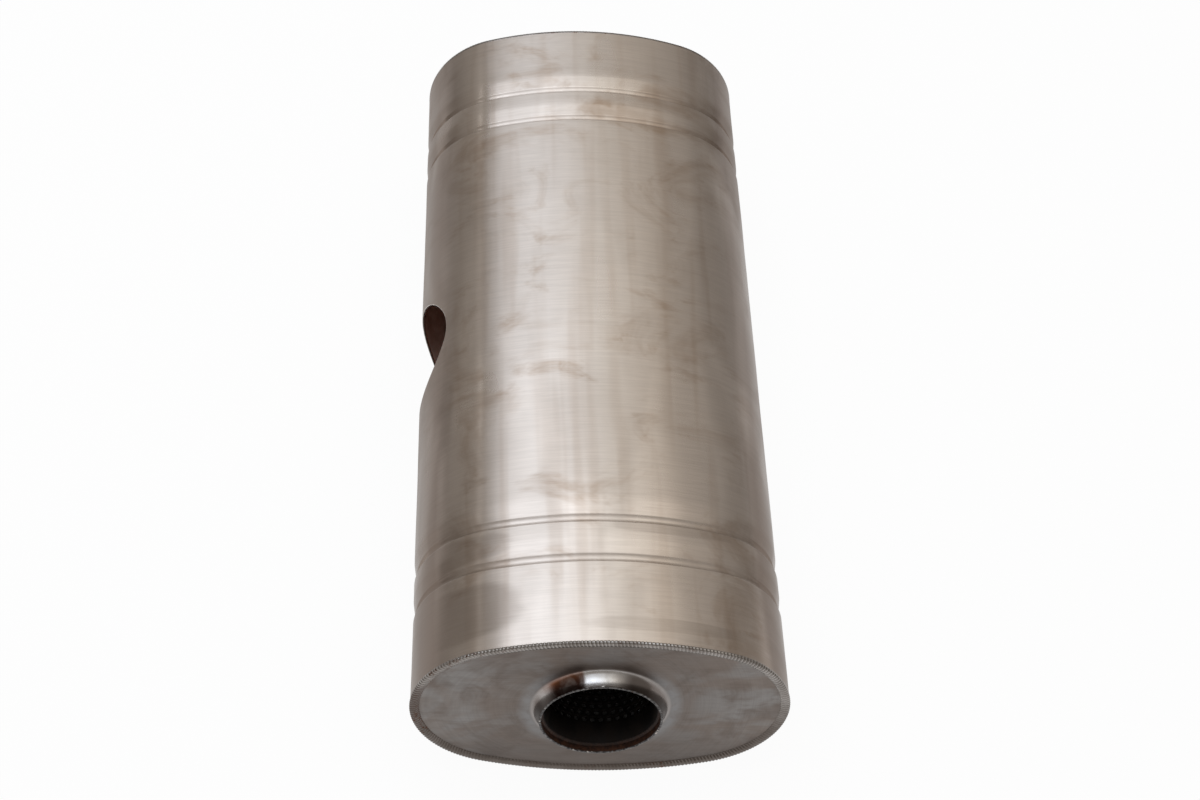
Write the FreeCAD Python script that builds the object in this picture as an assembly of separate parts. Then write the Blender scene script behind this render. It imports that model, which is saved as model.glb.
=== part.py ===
import FreeCAD, Part
import math
import os

from FreeCAD import Vector

# Oval exhaust muffler with a side inlet hole and a central outlet collar.
# X runs across the case, Y along it and Z up. The outlet faces -Y.
# The origin is under the middle of the whole length, on the plane that the case rests on.
# The gas enters the side hole, fills the middle chamber, passes the rear baffle in two transfer tubes,
# turns round in the rear chamber and leaves through the return tube and the perforated core.

# Case: an oval of four tangent arcs, rolled from one sheet and butt welded along the underside
case_width = 203.2
case_height = 127.0
case_side_radius = 56.4
case_length = 478.0
case_sheet = 1.5
seam_width = 3.0

# Rolled grooves: one pair near each end locks a baffle in place and draws the sheet in beside it
groove_from_end = 55.0
groove_spacing = 26.2
groove_width = 6.6
groove_depth = 1.5
draw_in_depth = 1.0
draw_in_run = 11.0

# Inlet: a round hole cut square through the left side, on the centre line
inlet_diameter = 76.2
inlet_from_middle = 0.0

# End plates, set inside the case and welded round the corner
plate_thickness = 1.5
plate_fit_gap = 0.1
plate_recess = 0.6
end_weld_proud = 0.7
end_weld_crown_inset = 1.5

# Outlet collar, drawn out of the plate round the core's end
collar_fit_gap = 0.1
collar_rim = 1.3
collar_stand = 8.4
collar_bend = 5.0

# Perforated core: the tube stops short of the collar's mouth
core_diameter = 63.5
core_wall = 1.5
core_from_mouth = 5.0
core_in_return_tube = 12.0
core_weld_leg = 1.4
hole_diameter = 3.1
holes_round = 42
hole_sides = 6
first_row_from_mouth = 19.8
row_pitch = 4.4
row_count = 2

# Baffles, pressed with a flange and necks that point into the middle chamber
baffle_thickness = 1.5
baffle_flange = 10.0
baffle_bend = 3.0
baffle_seat_gap = 0.05
neck_rim = 1.3
neck_stand = 10.0
neck_bend = 3.0

# Return tube, from the front baffle to the rear chamber
return_slip_gap = 0.1
return_wall = 1.3
return_past_baffle = 25.0
joint_weld_width = 4.0
joint_weld_proud = 0.8
neck_slip_gap = 0.1
neck_weld_leg = 1.6

# Transfer tubes through the rear baffle, one each side of the return tube, as wide as the two gaps leave them
transfer_side_gap = 13.375
transfer_return_gap = 10.625
transfer_wall = 1.5
transfer_in_front = 70.0
transfer_behind = 15.0

# Corner beads: how far the middle of the face stands out, as a share of the leg
bead_bulge = 0.62

# Packing of the front chamber
wrap_thickness = 5.0
packing_gap = 0.3

# Round bends in the sheet are made of flat strips
groove_strip_count = 3
crown_strip_count = 2
draw_in_strip_count = 1
collar_strip_count = 2
press_strip_count = 1
bead_strip_count = 1

# How far cutters and overlaps run past what they cut
overcut = 5.0

# Worked out from the sizes above
half_width = case_width / 2
half_height = case_height / 2
axis_z = half_height
side_centre_x = half_width - case_side_radius
broad_radius = (side_centre_x ** 2 + half_height ** 2 - case_side_radius ** 2) / (
    2 * (half_height - case_side_radius)
)
broad_drop = broad_radius - half_height
broad_half_angle = math.degrees(math.atan2(side_centre_x, broad_drop))
seam_half_angle = math.degrees(seam_width / 2 / broad_radius)

mouth_to_case = collar_stand - plate_recess
mouth_y = -(mouth_to_case + case_length + end_weld_proud) / 2
front_y = mouth_y + mouth_to_case
rear_y = front_y + case_length
middle_y = (front_y + rear_y) / 2
front_face_y = front_y + plate_recess
rear_face_y = rear_y - plate_recess

core_radius = core_diameter / 2
collar_bore_radius = core_radius + collar_fit_gap
return_bore_radius = core_radius + return_slip_gap
return_radius = return_bore_radius + return_wall
transfer_radius = (half_width - transfer_side_gap - transfer_return_gap - return_radius) / 2
transfer_from_middle = half_width - transfer_side_gap - transfer_radius
wrap_radius = core_radius + packing_gap + wrap_thickness

groove_radius = ((groove_width / 2) ** 2 + groove_depth ** 2) / (2 * groove_depth)
groove_centre_inset = draw_in_depth + groove_depth - groove_radius
draw_in_radius = (draw_in_run ** 2 + draw_in_depth ** 2) / (2 * draw_in_depth)
crown_half = (groove_spacing - groove_width) / 2
crown_radius = (crown_half ** 2 + draw_in_depth ** 2) / (2 * draw_in_depth)
crown_from_end = groove_from_end + groove_spacing / 2

front_baffle_y = front_y + crown_from_end - baffle_flange / 2 + baffle_thickness
rear_baffle_y = rear_y - crown_from_end + baffle_flange / 2 - baffle_thickness
core_start_y = mouth_y + core_from_mouth
front_neck_end_y = front_baffle_y + neck_stand
core_end_y = front_neck_end_y + core_in_return_tube
return_end_y = rear_baffle_y + baffle_thickness + return_past_baffle
rear_neck_end_y = rear_baffle_y - neck_stand
transfer_start_y = rear_baffle_y - transfer_in_front
transfer_end_y = rear_baffle_y + baffle_thickness + transfer_behind
packing_start_y = front_face_y + plate_thickness + packing_gap
packing_end_y = front_baffle_y - baffle_thickness - packing_gap


def save(shape, node):
    """Writes one sub-part and says how large it is."""
    if not shape.isValid() or shape.Volume <= 0:
        raise ValueError(node + " is not a sound solid")
    shape.exportStep("parts/" + node + ".step")
    print(node, len(shape.Solids), "solid,", round(shape.Volume / 1000, 2), "cm3")


def joined(solids):
    """One clean solid from solids that share faces."""
    return solids[0].multiFuse(solids[1:]).removeSplitter()


def round_points(centre, start, end, strips):
    """Points along the shorter arc about a centre, the two ends included."""
    radius = math.dist(start, centre)
    first = math.atan2(start[1] - centre[1], start[0] - centre[0])
    turn = math.atan2(end[1] - centre[1], end[0] - centre[0]) - first
    turn -= 2 * math.pi * round(turn / (2 * math.pi))
    points = [start]
    for number in range(1, strips):
        angle = first + turn * number / strips
        points.append((centre[0] + radius * math.cos(angle), centre[1] + radius * math.sin(angle)))
    return points + [end]


def outline(points):
    """A flat face in the XY plane inside a closed line of points."""
    corners = [Vector(x, y, 0) for x, y in points]
    return Part.Face(Part.makePolygon(corners + corners[:1]))


def ring(points, x=0.0):
    """Turns a section of (radius, y) points all round a line along Y at the case's mid height."""
    turned = outline(points).revolve(Vector(0, 0, 0), Vector(0, 1, 0), 360)
    turned.translate(Vector(x, 0, axis_z))
    return turned


def tube(radius, wall, start_y, end_y, x=0.0):
    """A plain tube along Y at the case's mid height."""
    at = Vector(x, start_y, axis_z)
    outer = Part.makeCylinder(radius, end_y - start_y, at, Vector(0, 1, 0))
    inner = Part.makeCylinder(radius - wall, end_y - start_y, at, Vector(0, 1, 0))
    return outer.cut(inner)


def round_cutter(radius, one_y, other_y, x=0.0):
    """A cylinder along Y that runs past both of two faces."""
    at = Vector(x, min(one_y, other_y) - overcut, axis_z)
    return Part.makeCylinder(radius, abs(one_y - other_y) + 2 * overcut, at, Vector(0, 1, 0))


def oval_arcs(half_gap=0.0):
    """The case's arcs as (centre x, centre z, radius, start angle, turn), from the seam and back to it.

    Angles are in degrees from +X towards +Z. half_gap is the angle left open each side of the seam.
    """
    side_half = 90 - broad_half_angle
    low_z = axis_z + broad_drop
    high_z = axis_z - broad_drop
    return [
        (0.0, low_z, broad_radius, 270 + half_gap, broad_half_angle - half_gap),
        (side_centre_x, axis_z, case_side_radius, -side_half, 2 * side_half),
        (0.0, high_z, broad_radius, side_half, 2 * broad_half_angle),
        (-side_centre_x, axis_z, case_side_radius, 180 - side_half, 2 * side_half),
        (0.0, low_z, broad_radius, 180 + side_half, broad_half_angle - half_gap),
    ]


def swept(section, centre_x, centre_z, radius, start, turn):
    """Turns a section about the centre of one of the oval's arcs. A section's X is minus its inset."""
    placed = section.copy()
    placed.translate(Vector(radius, 0, 0))
    placed.rotate(Vector(0, 0, 0), Vector(0, -1, 0), start)
    placed.translate(Vector(centre_x, 0, centre_z))
    return placed.revolve(Vector(centre_x, 0, centre_z), Vector(0, -1, 0), turn)


def round_oval(points, half_gap=0.0):
    """Carries a section of (inset, y) points round the oval."""
    section = outline([(-inset, y) for inset, y in points])
    return joined([swept(section, *part) for part in oval_arcs(half_gap)])


def oval_block(inset, one_y, other_y):
    """A solid oval between two planes, inset from the case's outer surface."""
    edges = []
    for centre_x, centre_z, radius, start, turn in oval_arcs():
        points = []
        for angle in (start, start + turn / 2, start + turn):
            x = centre_x + (radius - inset) * math.cos(math.radians(angle))
            z = centre_z + (radius - inset) * math.sin(math.radians(angle))
            points.append(Vector(x, min(one_y, other_y), z))
        edges.append(Part.Arc(*points).toShape())
    face = Part.Face(Part.Wire(edges))
    return face.extrude(Vector(0, abs(other_y - one_y), 0)).removeSplitter()


def lip(wall, wall_radius, groove, groove_wall_radius, side):
    """Where a round of the wall meets a groove, on its side of larger (+1) or smaller (-1) y."""
    apart = math.dist(wall, groove)
    along = (apart ** 2 + wall_radius ** 2 - groove_wall_radius ** 2) / (2 * apart)
    across = math.sqrt(wall_radius ** 2 - along ** 2)
    step = ((groove[0] - wall[0]) / apart, (groove[1] - wall[1]) / apart)
    foot = (wall[0] + along * step[0], wall[1] + along * step[1])
    one = (foot[0] - across * step[1], foot[1] + across * step[0])
    other = (foot[0] + across * step[1], foot[1] - across * step[0])
    return max(one, other, key=lambda point: side * point[1])


def groove_line(depth, groove_y, before, before_radius, after, after_radius):
    """One groove between the rounds before and after it, at a depth under the outer surface."""
    groove = (groove_centre_inset, groove_y)
    radius = groove_radius + depth
    first = lip(before, before_radius - depth, groove, radius, -1)
    last = lip(after, after_radius - depth, groove, radius, 1)
    return round_points(groove, first, last, groove_strip_count)


def wall_line(depth):
    """The wall from the front edge to the rear edge as (inset, y), at a depth under the outer surface."""
    first_y = front_y + groove_from_end
    second_y = first_y + groove_spacing
    reach = groove_width / 2 + draw_in_run
    start = (draw_in_radius, first_y - reach)
    crown = (crown_radius, (first_y + second_y) / 2)
    stop = (draw_in_radius, second_y + reach)
    first = groove_line(depth, first_y, start, draw_in_radius, crown, crown_radius)
    second = groove_line(depth, second_y, crown, crown_radius, stop, draw_in_radius)
    draw_in = round_points(start, (depth, start[1]), first[0], draw_in_strip_count)
    rise = round_points(crown, first[-1], second[0], crown_strip_count)
    draw_out = round_points(stop, second[-1], (depth, stop[1]), draw_in_strip_count)
    pair = draw_in + first[1:] + rise[1:] + second[1:] + draw_out[1:]
    mirrored = [(inset, front_y + rear_y - y) for inset, y in reversed(pair)]
    return [(depth, front_y)] + pair + mirrored + [(depth, rear_y)]


def wall_section():
    """The sheet's section along the case, with both pairs of grooves."""
    return wall_line(0) + wall_line(case_sheet)[::-1]


def inner_inset(y):
    """How far inside the case's outer surface the sheet's inner face lies at a y."""
    points = wall_line(case_sheet)
    for (inset, here), (next_inset, there) in zip(points, points[1:]):
        if here <= y <= there:
            return inset + (next_inset - inset) * (y - here) / (there - here)
    raise ValueError("no wall at this y")


def make_case():
    """The rolled sheet, open along the seam, with the inlet hole cut along X."""
    at = Vector(-half_width - overcut, middle_y + inlet_from_middle, axis_z)
    hole = Part.makeCylinder(inlet_diameter / 2, half_width, at, Vector(1, 0, 0))
    return round_oval(wall_section(), seam_half_angle).cut(hole)


def make_seam_weld():
    """The butt weld that fills the seam, ground flush on both sides."""
    section = outline([(-inset, y) for inset, y in wall_section()])
    start = 270 - seam_half_angle
    return swept(section, 0.0, axis_z + broad_drop, broad_radius, start, 2 * seam_half_angle)


def neck_inside(bore_radius, bend, thickness, strips):
    """The inner bend of a drawn neck as (radius, height), from the plate's back to the straight bore."""
    bend_radius = bend + thickness
    centre = (bore_radius + bend_radius, bend)
    return round_points(centre, (bore_radius + bend_radius, -thickness), (bore_radius, bend), strips)


def make_neck(face_y, way, bore_radius, rim, stand, bend, thickness, strips, x=0.0):
    """A neck drawn out of a plate, with the radius of the plate's hole that it fills.

    It stands on the plate's face at face_y and points along way, +1 or -1.
    """
    wall_radius = bore_radius + rim
    root = wall_radius + bend + thickness
    outside = round_points((wall_radius + bend, bend), (wall_radius, bend), (wall_radius + bend, 0), strips)
    inside = neck_inside(bore_radius, bend, thickness, strips)
    section = [(bore_radius, stand), (wall_radius, stand)] + outside
    section += [(root, 0), (root, -thickness)] + inside
    return ring([(radius, face_y + way * height) for radius, height in section], x), root


def make_end_plate(face_y, way):
    """A plain oval plate inside the case's end. way points out of the case."""
    return oval_block(case_sheet + plate_fit_gap, face_y, face_y - way * plate_thickness)


def make_outlet_plate():
    """The front plate with the outlet collar drawn out of it."""
    collar, root = make_neck(
        front_face_y, -1, collar_bore_radius, collar_rim, collar_stand, collar_bend,
        plate_thickness, collar_strip_count
    )
    blank = make_end_plate(front_face_y, -1)
    blank = blank.cut(round_cutter(root, front_face_y, front_face_y + plate_thickness))
    return joined([blank, collar])


def make_end_weld(end_y, way):
    """The corner bead over the case's edge and the recessed plate. way points out of the case."""
    crown = end_weld_crown_inset
    round_radius = (crown ** 2 + end_weld_proud ** 2) / (2 * end_weld_proud)
    below_centre = round_radius - end_weld_proud - plate_recess
    toe = crown + math.sqrt(round_radius ** 2 - below_centre ** 2)
    centre = (crown, end_weld_proud - round_radius)
    section = round_points(centre, (0, 0), (crown, end_weld_proud), bead_strip_count)
    section += round_points(centre, (crown, end_weld_proud), (toe, -plate_recess), bead_strip_count)[1:]
    section += [(case_sheet, -plate_recess), (case_sheet, 0)]
    return round_oval([(inset, end_y + way * height) for inset, height in section])


def make_baffle(face_y, way, necks):
    """A flanged oval baffle. way points into the middle chamber; necks are (bore radius, x).

    The flange lies between the two grooves of a pair, under the crown of the sheet.
    """
    flange_end = baffle_flange - baffle_thickness
    outer_inset = inner_inset(face_y + way * flange_end) + baffle_seat_gap
    hollow_inset = outer_inset + baffle_thickness
    bend_inset = hollow_inset + baffle_bend
    flat_inset = bend_inset + overcut
    centre = (bend_inset, baffle_bend)
    inside = round_points(centre, (hollow_inset, baffle_bend), (bend_inset, 0), press_strip_count)
    low, high = (bend_inset, -baffle_thickness), (outer_inset, baffle_bend)
    outside = round_points(centre, low, high, press_strip_count)
    section = [(outer_inset, flange_end), (hollow_inset, flange_end)] + inside
    section += [(flat_inset, 0), (flat_inset, -baffle_thickness)] + outside
    rim = round_oval([(inset, face_y + way * height) for inset, height in section])
    back_y = face_y - way * baffle_thickness
    web = oval_block(flat_inset, face_y, back_y)
    pieces = [rim]
    for bore_radius, x in necks:
        neck, root = make_neck(
            face_y, way, bore_radius, neck_rim, neck_stand, neck_bend,
            baffle_thickness, press_strip_count, x
        )
        web = web.cut(round_cutter(root, face_y, back_y, x))
        pieces.append(neck)
    return joined([web] + pieces)


def make_fillet_weld(corner_radius, corner_y, way, leg, x=0.0):
    """A bead in the outer corner of a tube and an end face."""
    section = [(0, 0), (leg, 0), (leg * bead_bulge, leg * bead_bulge), (0, leg)]
    return ring([(corner_radius + across, corner_y + way * height) for across, height in section], x)


def make_core_weld():
    """The bead on the core's end face, out to the bend of the collar round it."""
    low, high = neck_inside(collar_bore_radius, collar_bend, plate_thickness, collar_strip_count)[-2:]
    slope = (high[0] - low[0]) / (high[1] - low[1])
    start = front_face_y - core_start_y
    section = [(low[0] + slope * (height - low[1]), height) for height in (start + core_weld_leg, start)]
    section.append((collar_bore_radius - core_weld_leg, start))
    section.append((collar_bore_radius - core_weld_leg * bead_bulge, start + core_weld_leg * bead_bulge))
    return ring([(radius, front_face_y - height) for radius, height in section])


def make_joint_weld():
    """The bead round the butt joint of the front baffle's neck and the return tube."""
    foot = joint_weld_width / 2
    shoulder = joint_weld_width / 4
    top = return_radius + joint_weld_proud
    section = [(return_radius, -foot), (top, -shoulder), (top, shoulder), (return_radius, foot)]
    return ring([(radius, front_neck_end_y + along) for radius, along in section])


def make_core():
    """The core tube with staggered rows of punched holes, next to the outlet."""
    corner_angles = [2 * math.pi * number / hole_sides for number in range(hole_sides)]
    corner_radius = hole_diameter / 2
    punch = outline([(corner_radius * math.sin(a), corner_radius * math.cos(a)) for a in corner_angles])
    punch = punch.extrude(Vector(0, 0, core_wall + 2 * overcut))
    punch.translate(Vector(0, 0, core_radius - core_wall - overcut))
    punches = []
    step = 360 / holes_round
    for row in range(row_count):
        row_y = mouth_y + first_row_from_mouth + row * row_pitch
        stagger = step / 2 * (row % 2)
        for number in range(holes_round):
            placed = punch.copy()
            placed.rotate(Vector(0, 0, 0), Vector(0, 1, 0), stagger + step * number)
            placed.translate(Vector(0, row_y, axis_z))
            punches.append(placed)
    return tube(core_radius, core_wall, core_start_y, core_end_y).cut(Part.makeCompound(punches))


def make_wool():
    """The wool that fills the front chamber round the wrap."""
    inset = case_sheet + draw_in_depth + groove_depth + packing_gap
    wool = oval_block(inset, packing_start_y, packing_end_y)
    return wool.cut(round_cutter(wrap_radius + packing_gap, packing_start_y, packing_end_y))


os.makedirs("parts", exist_ok=True)

save(make_case(), "case")
save(make_seam_weld(), "case_seam_weld")
save(make_outlet_plate(), "outlet_end_plate")
save(make_end_plate(rear_face_y, 1), "closed_end_plate")
save(make_end_weld(front_y, -1), "outlet_end_weld")
save(make_end_weld(rear_y, 1), "closed_end_weld")

save(make_core(), "perforated_core")
save(make_core_weld(), "core_outlet_weld")
save(tube(wrap_radius, wrap_thickness, packing_start_y, packing_end_y), "steel_wool_wrap")
save(make_wool(), "wool_packing")

save(make_baffle(front_baffle_y, 1, [(core_radius + neck_slip_gap, 0.0)]), "front_baffle")
save(tube(return_radius, return_wall, front_neck_end_y, return_end_y), "return_tube")
save(make_joint_weld(), "return_tube_weld")

transfers = [("left", -transfer_from_middle), ("right", transfer_from_middle)]
rear_necks = [(return_radius + neck_slip_gap, 0.0)]
rear_necks += [(transfer_radius + neck_slip_gap, x) for name, x in transfers]
save(make_baffle(rear_baffle_y, -1, rear_necks), "rear_baffle")
save(make_fillet_weld(return_radius, rear_neck_end_y, -1, neck_weld_leg), "rear_baffle_weld")

for name, x in transfers:
    pipe = tube(transfer_radius, transfer_wall, transfer_start_y, transfer_end_y, x)
    save(pipe, "transfer_tube_" + name)
    bead = make_fillet_weld(transfer_radius, rear_neck_end_y, -1, neck_weld_leg, x)
    save(bead, "transfer_weld_" + name)
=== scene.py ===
import math

import bpy
import numpy as np
from bpy.props import FloatProperty, FloatVectorProperty, IntProperty, PointerProperty
from mathutils import Matrix, Vector, noise


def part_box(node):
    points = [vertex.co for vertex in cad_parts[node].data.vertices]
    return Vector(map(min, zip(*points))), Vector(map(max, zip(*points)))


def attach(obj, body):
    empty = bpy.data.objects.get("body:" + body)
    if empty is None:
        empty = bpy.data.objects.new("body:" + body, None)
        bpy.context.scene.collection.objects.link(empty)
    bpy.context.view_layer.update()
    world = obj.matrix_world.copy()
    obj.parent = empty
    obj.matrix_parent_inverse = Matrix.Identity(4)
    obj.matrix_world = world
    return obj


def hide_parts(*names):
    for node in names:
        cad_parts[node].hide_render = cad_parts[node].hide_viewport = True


bl_info = {
    "name": "Oval Muffler",
    "version": (1, 0, 0),
    "blender": (4, 5, 0),
    "location": "View3D > Sidebar > Muffler",
    "description": "Dresses the packed oval muffler: case, end plates, welds, core, packing and studio",
    "category": "Object",
}

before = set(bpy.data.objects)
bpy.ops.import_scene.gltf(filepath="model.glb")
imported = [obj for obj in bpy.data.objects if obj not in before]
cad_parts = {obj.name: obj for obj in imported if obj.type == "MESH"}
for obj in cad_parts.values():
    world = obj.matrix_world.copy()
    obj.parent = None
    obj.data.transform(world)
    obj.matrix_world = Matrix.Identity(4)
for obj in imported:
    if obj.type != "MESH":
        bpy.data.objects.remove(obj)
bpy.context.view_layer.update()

# Places that the packed solids give, in metres
CASE_LOW, CASE_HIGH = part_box("case")
CORE_LOW, CORE_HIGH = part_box("perforated_core")
WRAP_LOW, WRAP_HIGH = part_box("steel_wool_wrap")
WOOL_LOW, WOOL_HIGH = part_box("wool_packing")
AXIS_Z = (CASE_LOW.z + CASE_HIGH.z) / 2
FRONT_Y, REAR_Y = CASE_LOW.y, CASE_HIGH.y
MIDDLE_Y = (FRONT_Y + REAR_Y) / 2
MOUTH_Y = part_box("outlet_end_plate")[0].y
# Rows of the case between which the inlet hole has its own rings of faces
PATCH_ROWS = (MIDDLE_Y - 0.045, MIDDLE_Y + 0.045)


def length(name, default, description, low=0.0):
    """A size in metres."""
    return FloatProperty(
        name=name, description=description, default=default, min=low, unit="LENGTH", precision=5
    )


def share(name, default, description):
    """A number from 0 to 1."""
    return FloatProperty(
        name=name, description=description, default=default, min=0.0, max=1.0, subtype="FACTOR"
    )


def colour(name, default, description):
    """A linear colour."""
    return FloatVectorProperty(
        name=name, description=description, default=default, size=3, min=0.0, max=4.0, subtype="COLOR"
    )


class MufflerCaseSettings(bpy.types.PropertyGroup):
    """Sizes of the rolled case."""

    side_radius: length("Side radius", 0.0564, "Radius of the case's two tight sides")
    sheet: length("Sheet", 0.0015, "Thickness of the case's sheet")
    seam_width: length("Seam width", 0.003, "Width of the butt weld along the underside")
    groove_from_end: length("First groove", 0.055, "From the case's edge to the nearer groove of a pair")
    groove_spacing: length("Groove spacing", 0.0262, "Between the two grooves of a pair")
    groove_width: length("Groove width", 0.0054, "Width of a rolled groove")
    groove_depth: length("Groove depth", 0.0014, "Depth of a rolled groove under its lips")
    draw_in_depth: length("Draw-in depth", 0.0013, "How far rolling pulls the sheet in behind a groove")
    draw_in_run: length("Draw-in run", 0.0095, "How far along the case the sheet is pulled in")
    lip_round: length("Lip round", 0.00032, "Softness of a groove's two lips")
    hole_diameter: length("Inlet hole", 0.0762, "Diameter of the inlet hole in the left side")
    edge_break: length("Edge break", 0.00035, "Width of the broken edge round the inlet hole")
    waviness: length("Waviness", 0.0002, "How far the rolled sheet strays from its true form")
    columns: IntProperty(name="Columns", description="Faces round the case", default=352, min=64)


class MufflerEndSettings(bpy.types.PropertyGroup):
    """Sizes of the outlet end plate and its collar."""

    plate: length("Plate", 0.0015, "Thickness of the end plate")
    recess: length("Recess", 0.0006, "How far the plate lies inside the case's edge")
    bore: length("Collar bore", 0.03185, "Radius of the collar's bore")
    rim: length("Rim", 0.0013, "Wall of the collar at its mouth")
    stand: length("Stand", 0.0084, "How far the collar stands out of the plate")
    flare: length("Flare", 0.0046, "How far the collar's root spreads over the plate")
    lean: FloatProperty(
        name="Lean", description="Slope of the collar's outside at its mouth",
        default=math.radians(8), subtype="ANGLE",
    )
    rim_grit: length("Rim grit", 0.00016, "Roughness of the cut rim")
    dish: length("Dish", 0.0003, "How far the plate's flat strays from a plane")
    columns: IntProperty(name="Columns", description="Faces round the plate", default=448, min=64)


class MufflerWeldSettings(bpy.types.PropertyGroup):
    """Sizes of the rippled beads."""

    over_case: length("Over the case", 0.0013, "How far the corner bead reaches over the case")
    over_plate: length("Over the plate", 0.0048, "How far the corner bead reaches over the plate")
    proud: length("Proud", 0.0008, "How far the corner bead stands out of the case's edge")
    pitch: length("Ripple pitch", 0.00195, "From one ripple to the next", 0.0005)
    ripple: length("Ripple height", 0.00042, "Height of a ripple")
    faces_a_ripple: IntProperty(name="Faces a ripple", description="Faces along one ripple", default=8, min=3)


class MufflerCoreSettings(bpy.types.PropertyGroup):
    """Sizes of the perforated core."""

    wall: length("Wall", 0.0015, "Wall of the core tube")
    hole: length("Hole", 0.0031, "Diameter of a punched hole")
    holes_round: IntProperty(name="Holes round", description="Holes in one row", default=42, min=6)
    first_row: length("First row", 0.0198, "From the collar's mouth to the first row of holes")
    row_pitch: length("Row pitch", 0.0044, "From one row of holes to the next")
    rows: IntProperty(name="Rows", description="Rows of holes", default=11, min=1)


class MufflerFinishSettings(bpy.types.PropertyGroup):
    """Colours and gloss of the metals and the wool."""

    case_steel: colour("Case steel", (0.555, 0.490, 0.440), "Brushed stainless steel of the case")
    # This colour paints shade on the case's two sides, which turn away from the overhead light, and is also
    # the colour of the brown stains on the case's top
    case_side_shade_and_stain: colour("Case side shade and stain", (0.205, 0.161, 0.133), "Browner steel on the case's two sides")
    stain: colour("Stain", (0.36, 0.27, 0.205), "Brown stains on the brushed case")
    plate_steel: colour("Plate steel", (0.168, 0.139, 0.121), "Duller steel of the end plates")
    plate_bloom: colour("Plate bloom", (0.218, 0.205, 0.196), "Paler, bluish patches on the end plates")
    collar_steel: colour("Collar steel", (0.62, 0.60, 0.59), "Steel polished by drawing the collar")
    weld_metal: colour("Weld metal", (0.26, 0.237, 0.22), "Bright weld metal")
    oxide: colour("Oxide", (0.035, 0.018, 0.011), "Dark oxide and slag")
    heat_tint: colour("Heat tint", (0.15, 0.058, 0.028), "Orange-brown tint beside welds and cuts")
    core_steel: colour("Core steel", (0.006, 0.0045, 0.004), "Heat darkened steel inside the outlet")
    inner_steel: colour("Inner steel", (0.78, 0.58, 0.50), "Heat tinted steel inside the case")
    wrap_wool: colour("Steel wool", (0.045, 0.038, 0.032), "Steel wool wrap")
    packing_wool: colour("Packing wool", (0.62, 0.55, 0.38), "Wool packing")
    case_gloss: share("Case roughness", 0.31, "Roughness of the brushed case")
    plate_gloss: share("Plate roughness", 0.40, "Roughness of the end plates")
    brushing: share("Brushing", 0.22, "Strength of the brushing in the case's relief")


class MufflerStageSettings(bpy.types.PropertyGroup):
    """Floor, lamps and camera."""

    floor_colour: colour("Floor", (0.86, 0.86, 0.86), "Pale studio floor")
    floor_white: share("Floor white", 0.95, "How far the floor shows as plain white")
    surround: colour("Surround", (0.42, 0.398, 0.371), "Even light of the room")
    light: FloatProperty(
        name="Light", description="Brightness of the overhead soft box. 1 looks white in a mirror",
        default=2.67, min=0.0,
    )
    lens: FloatProperty(name="Lens", description="Focal length in millimetres", default=64.629)
    eye: FloatVectorProperty(
        name="Camera place", description="Where the camera stands", default=(-0.07607, -0.85086, 1.04846),
        size=3, subtype="TRANSLATION", unit="LENGTH",
    )
    eye_right: FloatVectorProperty(
        name="Camera right", description="Direction to the right of the view",
        default=(0.99785626, -0.02908171, 0.05862708), size=3, subtype="DIRECTION",
    )
    eye_up: FloatVectorProperty(
        name="Camera up", description="Upward direction of the view",
        default=(-0.01556165, 0.76470406, 0.64419371), size=3, subtype="DIRECTION",
    )


# Form of the oval

def oval_form():
    """Sizes of the oval's four tangent arcs: side centre and radius, broad radius and drop, half angles."""
    case = bpy.context.scene.muffler_case
    half_width = (CASE_HIGH.x - CASE_LOW.x) / 2
    half_height = (CASE_HIGH.z - CASE_LOW.z) / 2
    side = case.side_radius
    centre_x = half_width - side
    broad = (centre_x ** 2 + half_height ** 2 - side ** 2) / (2 * (half_height - side))
    drop = broad - half_height
    broad_half = math.atan2(centre_x, drop)
    side_half = math.pi / 2 - broad_half
    return centre_x, side, broad, drop, broad_half, side_half


def oval_arcs():
    """Distances round the oval where its arcs meet, from the underside's middle, and the angles there."""
    _, side, broad, _, broad_half, side_half = oval_form()
    turns = [broad_half, 2 * side_half, 2 * broad_half, 2 * side_half, broad_half]
    radii = [broad, side, broad, side, broad]
    marks = np.concatenate([[0.0], np.cumsum([t * r for t, r in zip(turns, radii)])])
    angles = np.concatenate([[0.0], np.cumsum(turns)])
    return marks, 1.5 * math.pi - angles


def angle_at(distance):
    """Direction of the oval's outward normal, from +X towards +Z, at a distance round it by way of -X."""
    marks, angles = oval_arcs()
    return np.interp(distance, marks, angles)


def oval_length():
    """Distance once round the case."""
    return oval_arcs()[0][-1]


def oval_point(angle, inset):
    """Place (x, z) on the oval for a normal's angle, at an inset from the case's outer surface."""
    centre_x, side, broad, drop, broad_half, _ = oval_form()
    angle = np.asarray(angle, float)
    across, up = np.cos(angle), np.sin(angle)
    on_broad = np.abs(across) < math.sin(broad_half)
    radius = np.where(on_broad, broad, side) - inset
    x = np.where(on_broad, 0.0, np.sign(across) * centre_x) + radius * across
    z = AXIS_Z + np.where(on_broad, -np.sign(up) * drop, 0.0) + radius * up
    return x, z


def groove_places():
    """The four grooves' places along Y."""
    case = bpy.context.scene.muffler_case
    first = FRONT_Y + case.groove_from_end
    pair = [first, first + case.groove_spacing]
    return pair + [FRONT_Y + REAR_Y - y for y in reversed(pair)]


# Bend of the slope behind a groove, where 1 is straight, and how many widths a groove's own round reaches
SLOPE_BEND = 1.08
GROOVE_REACH = 0.75


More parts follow.
